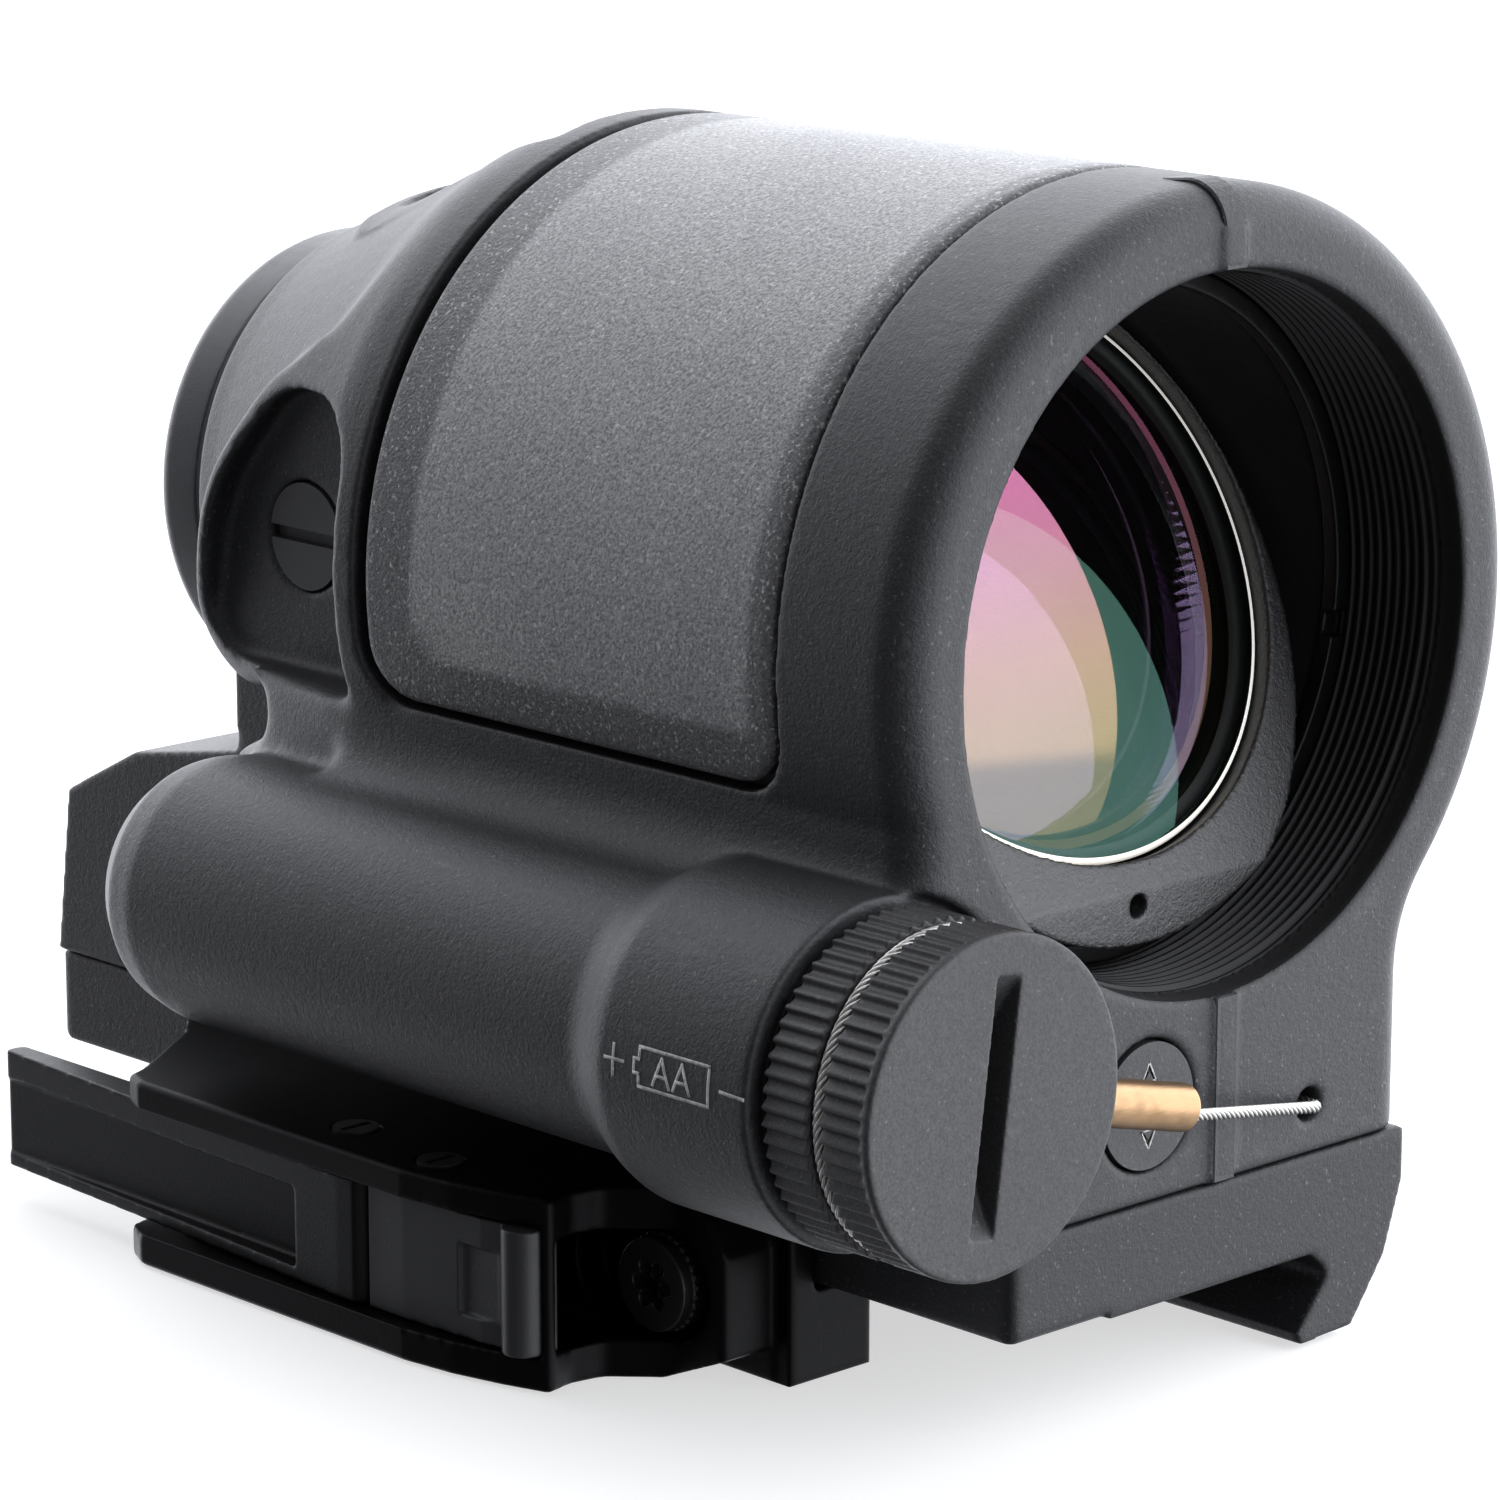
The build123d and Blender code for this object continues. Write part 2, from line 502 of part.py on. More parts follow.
export_step(lever_latch.part, "parts/lever_latch.step")

for name, (x, depth) in (("lever_pin", LEVER_PIN), ("latch_pin", LATCH_PIN)):
    with BuildPart() as pin:
        with Locations((x, FRONT_Y + depth, CLAMP_LOW + 0.1)):
            Cylinder(PIN_R, PLATE_TOP - CLAMP_LOW, align=(Align.CENTER, Align.CENTER, Align.MIN))
        with Locations((x, FRONT_Y + depth, PLATE_TOP + 0.1)):
            Box(2.4, 0.5, 0.8, mode=Mode.SUBTRACT)
    pin.part.label = name
    export_step(pin.part, f"parts/{name}.step")

with BuildPart() as tension_screw:
    with BuildSketch(Plane.YZ.offset(KNOB_OUT)):
        with Locations((FRONT_Y + KNOB_Y, KNOB_Z)):
            Circle(KNOB_R - 0.2)
    extrude(amount=0.9)
    with BuildSketch(Plane.YZ.offset(KNOB_OUT + 0.9)):
        with Locations((FRONT_Y + KNOB_Y, KNOB_Z)):
            Circle(KNOB_R)
            with PolarLocations(KNOB_R + 0.1, 30):
                Rectangle(0.5, 0.32, mode=Mode.SUBTRACT)
    extrude(amount=2.0)
    with Locations(Location((-20.9, FRONT_Y + KNOB_Y, KNOB_Z), (0, 90, 0))):
        Cylinder(1.5, 4.4)
    with BuildSketch(Plane.YZ.offset(KNOB_OUT)):
        with Locations((FRONT_Y + KNOB_Y, KNOB_Z)):
            Circle(1.1)
            with PolarLocations(1.2, 6):
                Circle(0.5)
    extrude(amount=1.6, mode=Mode.SUBTRACT)
tension_screw.part.label = "tension_screw"
export_step(tension_screw.part, "parts/tension_screw.step")

# ---- optics: tilted lens cell, cemented doublet, spacer ring, front ring, rear eyepiece ----
TILT = 25.6              # the reflex lens leans back at the top
LENS_R = 19.1
LENS_Y = 15.4
LENS_Z = AXIS_Z + 2.4
lens_out = Vector(0, -cos(radians(TILT)), sin(radians(TILT)))
lens_plane = Plane(origin=(0, FRONT_Y + LENS_Y, LENS_Z), x_dir=(1, 0, 0), z_dir=lens_out)
lens_axis = Axis(lens_plane.origin, lens_out)
CELL_R = BORE_R - 0.4

with BuildPart() as lens_cell:
    add(lathe([(2, 0), (2, CELL_R), (34, CELL_R), (34, 0)], 0, AXIS_Z))
    with BuildSketch(lens_plane):
        Rectangle(120, 120)
    extrude(amount=60, mode=Mode.SUBTRACT)
    with BuildSketch(lens_plane.offset(-5.6)):
        Rectangle(120, 120)
    extrude(amount=-60, mode=Mode.SUBTRACT)
    with BuildSketch(lens_plane.offset(1)):
        Circle(LENS_R + 0.25)
    extrude(amount=-5.2, mode=Mode.SUBTRACT)
    with BuildSketch(lens_plane.offset(1)):
        Circle(LENS_R - 1.2)
    extrude(amount=-20, mode=Mode.SUBTRACT)
    # upright facet below the lens with its vent hole
    with Locations((0, FRONT_Y + 2, AXIS_Z - 18)):
        Box(60, 8.4, 20, mode=Mode.SUBTRACT)
    with BuildSketch(station(0)):
        with Locations((-0.6, AXIS_Z - 17.8)):
            Circle(0.75)
    extrude(amount=-30, mode=Mode.SUBTRACT)
lens_cell.part.label = "lens_cell"
export_step(lens_cell.part, "parts/lens_cell.step")

FRONT_BULGE = 60.0       # surface radii of the cemented pair
CEMENT_BULGE = 80.0


def dome(radius, level):
    """Ball whose front cap crosses the lens axis at a level along it."""
    return Location(lens_plane.origin + lens_out * (level - radius))


with BuildPart() as lens_front:
    with BuildSketch(lens_plane.offset(-2.2)):
        Circle(LENS_R)
    extrude(amount=4)
    with Locations(dome(FRONT_BULGE, 2.0)):
        Sphere(FRONT_BULGE, mode=Mode.INTERSECT)
    with Locations(dome(CEMENT_BULGE, -0.2)):
        Sphere(CEMENT_BULGE, mode=Mode.SUBTRACT)
lens_front.part.label = "lens_front"
export_step(lens_front.part, "parts/lens_front.step")

with BuildPart() as lens_rear:
    with BuildSketch(lens_plane.offset(-4.1)):
        Circle(LENS_R)
    extrude(amount=4)
    with Locations(dome(CEMENT_BULGE, -0.23)):
        Sphere(CEMENT_BULGE, mode=Mode.INTERSECT)
lens_rear.part.label = "lens_rear"
export_step(lens_rear.part, "parts/lens_rear.step")

RETAINER = [(9.0, BORE_R - 0.15), (9.0, THREAD_R - FIT), (10.15, THREAD_R - FIT), (10.15, BORE_R - 0.15)]
with BuildPart() as bore_retainer:
    add(lathe(RETAINER, 0, AXIS_Z))
    with Locations((BORE_R + 0.2, FRONT_Y + 9.2, AXIS_Z - 3.5), (-BORE_R - 0.2, FRONT_Y + 9.2, AXIS_Z + 3.5)):
        Box(1.5, 1.2, 1.6, mode=Mode.SUBTRACT)
bore_retainer.part.label = "bore_retainer"
export_step(bore_retainer.part, "parts/bore_retainer.step")

EYE_R = 16.5
EYE = [(75.6, 14.2), (75.6, REAR_SPIGOT_R - FIT), (78.2, REAR_SPIGOT_R - FIT), (78.2, 15.4), (78.6, 15.4),
       (78.6, EYE_R), (82.2, EYE_R), (82.9, 16.2), (83.2, 15.6), (82.5, 15.1), (79.2, 15.1), (79.2, 14.2)]
with BuildPart() as eyepiece_ring:
    add(lathe(EYE, 0, AXIS_Z))
eyepiece_ring.part.label = "eyepiece_ring"
export_step(eyepiece_ring.part, "parts/eyepiece_ring.step")

with BuildPart() as rear_window:
    add(lathe([(79.25, 0), (79.25, 15.05), (81.25, 15.05), (81.25, 0)], 0, AXIS_Z))
rear_window.part.label = "rear_window"
export_step(rear_window.part, "parts/rear_window.step")

with BuildPart() as eyepiece_seal:
    add(lathe([(77.65, 16.05), (77.65, 16.7), (78.55, 16.7), (78.55, 16.05)], 0, AXIS_Z))
eyepiece_seal.part.label = "eyepiece_seal"
export_step(eyepiece_seal.part, "parts/eyepiece_seal.step")

# ---- solar window over its gasket and cell ----
with BuildPart() as solar_window:
    add(wrapped_shell(RING_R - 1.4, RING_R, WINDOW_FRONT + WINDOW_GAP, WINDOW_REAR - WINDOW_REAR_GAP,
                      WINDOW_LOW + WINDOW_GAP, 3.7))
    sharp = solar_window.edges().filter_by(lambda edge: abs(edge.center().X) < 1
                                           and abs(edge.center().Z - AXIS_Z) > RING_R - 0.1)
    fillet(sharp, 0.35)
solar_window.part.label = "solar_window"
export_step(solar_window.part, "parts/solar_window.step")

with BuildPart() as window_gasket:
    add(wrapped_shell(WINDOW_FLOOR_R + 0.05, RING_R - 1.45, WINDOW_FRONT + 0.1, WINDOW_REAR - 0.1,
                      WINDOW_LOW + 0.1, 3.9))
    add(wrapped_shell(WINDOW_FLOOR_R - 1, RING_R, WINDOW_FRONT + 3.2, WINDOW_REAR - 4.2,
                      WINDOW_LOW + 4.2, 3.0), mode=Mode.SUBTRACT)
window_gasket.part.label = "window_gasket"
export_step(window_gasket.part, "parts/window_gasket.step")

with BuildPart() as solar_cell:
    add(wrapped_shell(WINDOW_FLOOR_R + 0.05, WINDOW_FLOOR_R + 0.75, WINDOW_FRONT + 3.4, WINDOW_REAR - 4.4,
                      WINDOW_LOW + 4.4, 2.8))
solar_cell.part.label = "solar_cell"
export_step(solar_cell.part, "parts/solar_cell.step")

# ---- windage and elevation adjusters with their seals ----
for name, angle in (("windage", 180), ("elevation", 90)):
    face = side_plane(angle, POCKET_FLOORS[angle])
    with BuildPart() as adjuster:
        with BuildSketch(face.offset(-1.6)):
            with Locations((-ADJUSTER_Y, ADJUSTER_RISE)):
                Circle(ADJUSTER_R)
        extrude(amount=1.6)
        with BuildSketch(face.offset(-ADJUSTER_DEEP + 0.02)):
            with Locations((-ADJUSTER_Y, ADJUSTER_RISE)):
                Circle(ADJUSTER_R - 0.9)
        extrude(amount=ADJUSTER_DEEP - 1.6)
        with BuildSketch(face.offset(-0.7)):
            with Locations((-ADJUSTER_Y, ADJUSTER_RISE)):
                Rectangle(2 * ADJUSTER_R, 0.9)
        extrude(amount=1, mode=Mode.SUBTRACT)
    adjuster.part.label = f"{name}_screw"
    export_step(adjuster.part, f"parts/{name}_screw.step")
    with BuildPart() as seal:
        with BuildSketch(face.offset(-ADJUSTER_DEEP + 0.02)):
            with Locations((-ADJUSTER_Y, ADJUSTER_RISE)):
                Circle(ADJUSTER_R - 0.05)
                Circle(ADJUSTER_R - 0.85, mode=Mode.SUBTRACT)
        extrude(amount=ADJUSTER_DEEP - 1.65)
    seal.part.label = f"{name}_seal"
    export_step(seal.part, f"parts/{name}_seal.step")

# ---- brightness rocker on its cross pin, seal and two dome switches ----
ROCKER_T = 1.5
ROCKER_PIN_DEEP = 1.0
with BuildPart() as rocker:
    with BuildSketch(station(0)):
        with Locations((ROCKER_X, ROCKER_Z)):
            Circle(ROCKER_R)
    extrude(amount=-ROCKER_T)
    with BuildSketch(station(0)):
        for side in (-1, 1):
            with BuildLine():
                tip = ROCKER_Z + side * 2.7
                foot = ROCKER_Z + side * 1.5
                Polyline((ROCKER_X, tip), (ROCKER_X + 0.8, foot), (ROCKER_X + 0.5, foot),
                         (ROCKER_X, tip - side * 0.55), (ROCKER_X - 0.5, foot), (ROCKER_X - 0.8, foot), close=True)
            make_face()
    extrude(amount=-0.12, mode=Mode.SUBTRACT)
    with Locations(Location((ROCKER_X, FRONT_Y + ROCKER_PIN_DEEP, ROCKER_Z), (0, 90, 0))):
        Cylinder(0.4, 12, mode=Mode.SUBTRACT)
rocker.part.label = "rocker"
export_step(rocker.part, "parts/rocker.step")

with BuildPart() as rocker_pin:
    with Locations(Location((ROCKER_X, FRONT_Y + ROCKER_PIN_DEEP, ROCKER_Z), (0, 90, 0))):
        Cylinder(0.35, 2 * ROCKER_R + 0.2)
rocker_pin.part.label = "rocker_pin"
export_step(rocker_pin.part, "parts/rocker_pin.step")

with BuildPart() as rocker_seal:
    with BuildSketch(station(2.0)):
        with Locations((ROCKER_X, ROCKER_Z)):
            Circle(ROCKER_R + 0.1)
            Circle(1.2, mode=Mode.SUBTRACT)
    extrude(amount=-0.5)
rocker_seal.part.label = "rocker_seal"
export_step(rocker_seal.part, "parts/rocker_seal.step")

for name, side in (("switch_up", 1), ("switch_down", -1)):
    with BuildPart() as switch:
        with BuildSketch(station(2.6)):
            with Locations((ROCKER_X, ROCKER_Z + side * 2.5)):
                Circle(1.0)
        extrude(amount=-1.5)
    switch.part.label = name
    export_step(switch.part, f"parts/{name}.step")

# ---- electronics: board, its screws and the emitter that lights the reticle ----
BOARD_Z = 9.2
with BuildPart() as control_board:
    with Locations((0, FRONT_Y + 50, BOARD_Z)):
        Box(2 * BAY_W - 1.0, 72, 1.2)
    with Locations((0, FRONT_Y + 30, BOARD_Z + 1.3), (-3, FRONT_Y + 46, BOARD_Z + 1.3)):
        Box(7, 7, 1.5)
control_board.part.label = "control_board"
export_step(control_board.part, "parts/control_board.step")

with BuildPart() as board_spacer:
    with Locations((0, FRONT_Y + 50, (SEAM_Z + BOARD_Z - 0.6) / 2)):
        Box(2 * BAY_W - 2.0, 70, BOARD_Z - 0.6 - SEAM_Z - 0.1)
        Box(2 * BAY_W - 6.0, 62, 4, mode=Mode.SUBTRACT)
board_spacer.part.label = "board_spacer"
export_step(board_spacer.part, "parts/board_spacer.step")

EMITTER_TILT = 12
with BuildPart() as emitter_block:
    with Locations((0, FRONT_Y + EMITTER_Y, (BOARD_Z + 0.65 + BAY_TOP + 9.5) / 2)):
        Box(2 * EMITTER_W, 7.0, BAY_TOP + 9.5 - BOARD_Z - 0.65)
    with BuildSketch(Plane(origin=(0, FRONT_Y + EMITTER_Y - 3.5, BAY_TOP + 8.0), x_dir=(1, 0, 0),
                           z_dir=(0, -1, 0))):
        Circle(1.3)
    extrude(amount=-2.5, mode=Mode.SUBTRACT)
emitter_block.part.label = "emitter_block"
export_step(emitter_block.part, "parts/emitter_block.step")

with BuildPart() as emitter:
    with Locations(Location((0, FRONT_Y + EMITTER_Y - 2.4, BAY_TOP + 8.0), (90, 0, 0))):
        Cylinder(1.25, 2.1)
emitter.part.label = "emitter"
export_step(emitter.part, "parts/emitter.step")

# ---- battery, contacts, cap ----
with BuildPart() as battery:
    add(lathe([(6.6, 0), (6.6, 7.1), (55.6, 7.1), (55.6, 2.7), (56.7, 2.7), (56.7, 0)], TUBE_X, TUBE_Z))
battery.part.label = "battery"
export_step(battery.part, "parts/battery.step")

with BuildPart() as contact_cup:
    cup = [(55.7, 4.2), (55.7, 7.5), (60.8, 7.5), (60.8, 0), (58.2, 0), (58.2, 4.2)]
    add(lathe(cup, TUBE_X, TUBE_Z))
contact_cup.part.label = "contact_cup"
export_step(contact_cup.part, "parts/contact_cup.step")

with BuildPart() as positive_contact:
    add(lathe([(56.75, 0), (56.75, 4.1), (58.15, 4.1), (58.15, 0)], TUBE_X, TUBE_Z))
positive_contact.part.label = "positive_contact"
export_step(positive_contact.part, "parts/positive_contact.step")

GROOVE_FRONT = -4.45
GROOVE_REAR = -3.4
GROOVE_R = 9.15
TOOTH_DEEP = 0.42


def knurled_disc(front, rear):
    """Toothed disc about the cap's axis between two depths."""
    pitch = 360 / CAP_TEETH
    rim = []
    for tooth in range(CAP_TEETH):
        for turn, radius in ((0, CAP_R - TOOTH_DEEP), (0.62, CAP_R), (0.78, CAP_R)):
            angle = radians((tooth + turn) * pitch)
            rim.append((TUBE_X + radius * cos(angle), TUBE_Z + radius * sin(angle)))
    with BuildPart() as disc:
        with BuildSketch(station(front)):
            with BuildLine():
                Polyline(rim, close=True)
            make_face()
        extrude(amount=-(rear - front))
    return disc.part


SLOT_TILT = -7.9
with BuildPart() as battery_cap:
    add(knurled_disc(-7.75, GROOVE_FRONT))
    add(knurled_disc(GROOVE_REAR, CAP_BACK - 0.5))
    core = [(CAP_FACE, 0), (CAP_FACE, CAP_R - 0.15), (CAP_FACE + 0.15, CAP_R), (-7.9, CAP_R),
            (-7.75, CAP_R - 0.1), (-7.75, CAP_R - 1), (GROOVE_FRONT, GROOVE_R), (GROOVE_REAR, GROOVE_R),
            (CAP_BACK, GROOVE_R), (CAP_BACK, CAP_BORE_R - FIT), (6.4, CAP_BORE_R - FIT),
            (6.4, 6.6), (1.5, 6.6), (1.5, 0)]
    add(lathe(core, TUBE_X, TUBE_Z))
    # coin slot with a curved floor
    slot_plane = Plane(origin=(TUBE_X, FRONT_Y + CAP_FACE, TUBE_Z), x_dir=(cos(radians(SLOT_TILT)), 0,
                       sin(radians(SLOT_TILT))), z_dir=(0, -1, 0))
    with BuildSketch(Plane(origin=slot_plane.origin, x_dir=(0, 1, 0), z_dir=slot_plane.x_dir)):
        with Locations((-8.6, 0)):
            Circle(11.6)
    extrude(amount=0.95, both=True, mode=Mode.SUBTRACT)
    with BuildSketch(station(1.5)):
        with Locations((TUBE_X, TUBE_Z)):
            Circle(2.2)
    extrude(amount=-0.6)
battery_cap.part.label = "battery_cap"
export_step(battery_cap.part, "parts/battery_cap.step")

with BuildPart() as cap_seal:
    add(lathe([(0.75, CAP_BORE_R + 0.03), (0.75, CAP_BORE_R + 0.9), (0.97, CAP_BORE_R + 0.9),
               (0.97, CAP_BORE_R + 0.03)], TUBE_X, TUBE_Z))
cap_seal.part.label = "cap_seal"
export_step(cap_seal.part, "parts/cap_seal.step")

SPRING_R = 4.2
SPRING_WIRE = 0.35
with BuildPart() as cap_spring:
    with BuildLine() as coil:
        Helix(pitch=1.1, height=4.2, radius=SPRING_R, center=(TUBE_X, FRONT_Y + 1.95, TUBE_Z),
              direction=(0, 1, 0))
    with BuildSketch(Plane(origin=coil.line @ 0, z_dir=coil.line % 0)):
        Circle(SPRING_WIRE)
    sweep()
cap_spring.part.label = "cap_spring"
export_step(cap_spring.part, "parts/cap_spring.step")

# ---- lanyard: one wire looped round the cap groove, crimped, and led into its hole ----
WIRE_R = 0.4
LOOP_R = GROOVE_R + WIRE_R + 0.06
LOOP_DEPTH = (GROOVE_FRONT + GROOVE_REAR) / 2
BEND_R = 2.0
STRAND = 0.43            # half the distance between the two strands in the ferrule
hole_x, hole_z = LANYARD_HOLE
reach = sqrt((hole_x - TUBE_X) ** 2 + (hole_z - TUBE_Z) ** 2)
along = Vector((hole_x - TUBE_X) / reach, 0, (hole_z - TUBE_Z) / reach)
across = Vector(-along.Z, 0, along.X)
cap_centre = Vector(TUBE_X, FRONT_Y + LOOP_DEPTH, TUBE_Z)
FERRULE_START = 11.9
FERRULE_END = 21.5
TAIL_R = 1.3


def at(out, side):
    """Point in the loop's plane from the cap's centre towards the hole."""
    return cap_centre + along * out + across * side


bend_out = sqrt((LOOP_R + BEND_R) ** 2 - (STRAND + BEND_R) ** 2)
touch_out = bend_out * LOOP_R / (LOOP_R + BEND_R)
touch_side = (STRAND + BEND_R) * LOOP_R / (LOOP_R + BEND_R)
half_turn = asin((STRAND + BEND_R) / (LOOP_R + BEND_R))


def bend_middle(side):
    """Middle of the bend that joins a strand to the loop."""
    swing = (pi / 2 - half_turn) / 2 + half_turn
    return at(bend_out - BEND_R * cos(swing), side * (STRAND + BEND_R - BEND_R * sin(swing)))


mouth = Vector(hole_x + 0.12, FRONT_Y - 0.75, hole_z)
with BuildPart() as lanyard_wire:
    with BuildLine() as route:
        Line(at(19.5, STRAND), at(bend_out, STRAND))
        ThreePointArc(at(bend_out, STRAND), bend_middle(1), at(touch_out, touch_side))
        ThreePointArc(at(touch_out, touch_side), at(-LOOP_R, 0), at(touch_out, -touch_side))
        ThreePointArc(at(touch_out, -touch_side), bend_middle(-1), at(bend_out, -STRAND))
        FilletPolyline(at(bend_out, -STRAND), at(FERRULE_END + 1.2, -STRAND), mouth,
                       mouth + Vector(0, 9.4, 0), radius=TAIL_R)
    with BuildSketch(Plane(origin=route.line @ 0, z_dir=route.line % 0)):
        Circle(WIRE_R)
    sweep()
lanyard_wire.part.label = "lanyard_wire"
export_step(lanyard_wire.part, "parts/lanyard_wire.step")

with BuildPart() as ferrule:
    with BuildSketch(Plane(origin=at(FERRULE_START, 0), x_dir=across, z_dir=along)):
        Circle(1.5)
        SlotOverall(4 * STRAND + 0.02, 2 * WIRE_R + 0.04, mode=Mode.SUBTRACT)
    extrude(amount=FERRULE_END - FERRULE_START)
    chamfer(ferrule.edges().filter_by(GeomType.CIRCLE).filter_by(lambda edge: edge.radius > 1.4), 0.15)
ferrule.part.label = "ferrule"
export_step(ferrule.part, "parts/ferrule.step")

with BuildPart() as lanyard_stop:
    with BuildSketch(station(6.6)):
        with Locations((mouth.X - 0.1, mouth.Z)):
            Circle(0.9)
        with Locations((mouth.X, mouth.Z)):
            Circle(WIRE_R + 0.02, mode=Mode.SUBTRACT)
    extrude(amount=-1.8)
lanyard_stop.part.label = "lanyard_stop"
export_step(lanyard_stop.part, "parts/lanyard_stop.step")
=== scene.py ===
import bmesh
import bpy
import json
import math
import numpy as np
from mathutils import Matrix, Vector


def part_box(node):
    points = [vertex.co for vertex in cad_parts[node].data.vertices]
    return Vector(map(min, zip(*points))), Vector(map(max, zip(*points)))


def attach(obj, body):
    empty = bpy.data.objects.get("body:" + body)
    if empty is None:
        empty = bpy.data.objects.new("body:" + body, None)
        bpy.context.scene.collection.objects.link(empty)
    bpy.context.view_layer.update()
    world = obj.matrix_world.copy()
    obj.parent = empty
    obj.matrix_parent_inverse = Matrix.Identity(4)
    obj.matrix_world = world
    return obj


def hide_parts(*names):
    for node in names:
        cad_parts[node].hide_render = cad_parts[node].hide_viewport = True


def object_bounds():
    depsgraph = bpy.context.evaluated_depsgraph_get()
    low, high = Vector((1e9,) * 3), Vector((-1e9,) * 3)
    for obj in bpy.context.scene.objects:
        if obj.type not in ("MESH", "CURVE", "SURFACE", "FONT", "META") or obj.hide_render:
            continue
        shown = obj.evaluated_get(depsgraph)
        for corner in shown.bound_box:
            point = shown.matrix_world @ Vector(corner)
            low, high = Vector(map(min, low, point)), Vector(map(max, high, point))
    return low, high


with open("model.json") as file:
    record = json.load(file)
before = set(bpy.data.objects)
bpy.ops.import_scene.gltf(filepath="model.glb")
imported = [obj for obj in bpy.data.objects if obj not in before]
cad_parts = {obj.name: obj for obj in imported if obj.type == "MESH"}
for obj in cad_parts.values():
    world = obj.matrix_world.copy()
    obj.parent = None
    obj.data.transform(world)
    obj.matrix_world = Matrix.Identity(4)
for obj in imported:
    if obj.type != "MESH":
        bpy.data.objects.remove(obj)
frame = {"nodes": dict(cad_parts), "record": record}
cad_low, cad_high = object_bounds()

MM = 0.001
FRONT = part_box("main_housing")[0].y + 0.35 * MM     # front face of the housing
AXIS_Z = 41.0 * MM                                  # optical axis
TUBE = Vector((-28.27 * MM, 0.0, AXIS_Z - 21.92 * MM))


def depth(mm):
    """Y of a plane at a depth behind the front face."""
    return FRONT + mm * MM


# ---------------------------------------------------------------- node helpers
class Paint:
    """Builds one procedural material."""

    def __init__(self, name):
        self.material = bpy.data.materials.new(name)
        self.material.use_nodes = True
        self.tree = self.material.node_tree
        self.tree.nodes.clear()
        self.out = self.tree.nodes.new("ShaderNodeOutputMaterial")
        self.place = self.node("ShaderNodeTexCoord").outputs["Object"]

    def node(self, kind, **settings):
        made = self.tree.nodes.new(kind)
        for key, value in settings.items():
            setattr(made, key, value)
        return made

    def feed(self, socket, value):
        if isinstance(value, bpy.types.NodeSocket):
            self.tree.links.new(value, socket)
        elif isinstance(value, (tuple, list)) and len(value) == 3 and socket.type == "RGBA":
            socket.default_value = (*value, 1.0)
        else:
            socket.default_value = value

    def math(self, kind, a, b=0.0, clamp=False):
        made = self.node("ShaderNodeMath", operation=kind, use_clamp=clamp)
        for socket, value in zip(made.inputs, (a, b)):
            self.feed(socket, value)
        return made.outputs[0]

    def axes(self):
        parts = self.node("ShaderNodeSeparateXYZ")
        self.feed(parts.inputs[0], self.place)
        return parts.outputs

    def scaled(self, x, y, z):
        made = self.node("ShaderNodeVectorMath", operation="MULTIPLY")
        self.feed(made.inputs[0], self.place)
        made.inputs[1].default_value = (x, y, z)
        return made.outputs[0]

    def noise(self, scale, detail=3.0, rough=0.5, vector=None):
        made = self.node("ShaderNodeTexNoise")
        self.feed(made.inputs["Vector"], vector or self.place)
        self.feed(made.inputs["Scale"], scale)
        self.feed(made.inputs["Detail"], detail)
        self.feed(made.inputs["Roughness"], rough)
        return made.outputs["Fac"]

    def cells(self, scale):
        made = self.node("ShaderNodeTexVoronoi")
        self.feed(made.inputs["Vector"], self.place)
        self.feed(made.inputs["Scale"], scale)
        return made.outputs["Distance"]

    def ramp(self, value, *stops):
        made = self.node("ShaderNodeValToRGB")
        band = made.color_ramp
        while len(band.elements) < len(stops):
            band.elements.new(0.5)
        for element, (place, shade) in zip(band.elements, stops):
            element.position = place
            element.color = (*shade, 1)
        self.feed(made.inputs[0], value)
        return made.outputs["Color"]

    def span(self, value, low, high, to_low=0.0, to_high=1.0):
        made = self.node("ShaderNodeMapRange", interpolation_type="SMOOTHSTEP")
        for key, number in zip(("Value", "From Min", "From Max", "To Min", "To Max"),
                               (value, low, high, to_low, to_high)):
            self.feed(made.inputs[key], number)
        return made.outputs["Result"]

    def mix(self, factor, a, b):
        made = self.node("ShaderNodeMix", data_type="RGBA")
        self.feed(made.inputs[0], factor)
        self.feed(made.inputs[6], a)
        self.feed(made.inputs[7], b)
        return made.outputs[2]

    def edge_wear_and_highlight(self, low=0.52, high=0.62):
        """Convex edges, from the mesh's own curvature: a mask for edge wear and a painted highlight along
        them.
        """
        return self.span(self.node("ShaderNodeNewGeometry").outputs["Pointiness"], low, high)

    def bump(self, height, distance, strength):
        made = self.node("ShaderNodeBump")
        self.feed(made.inputs["Height"], height)
        self.feed(made.inputs["Distance"], distance)
        self.feed(made.inputs["Strength"], strength)
        return made.outputs[0]

    def surface(self, **values):
        shader = self.node("ShaderNodeBsdfPrincipled")
        for key, value in values.items():
            self.feed(shader.inputs[key.replace("_", " ")], value)
        return shader.outputs[0]

    def finish(self, shader):
        self.tree.links.new(shader, self.out.inputs["Surface"])
        return self.material


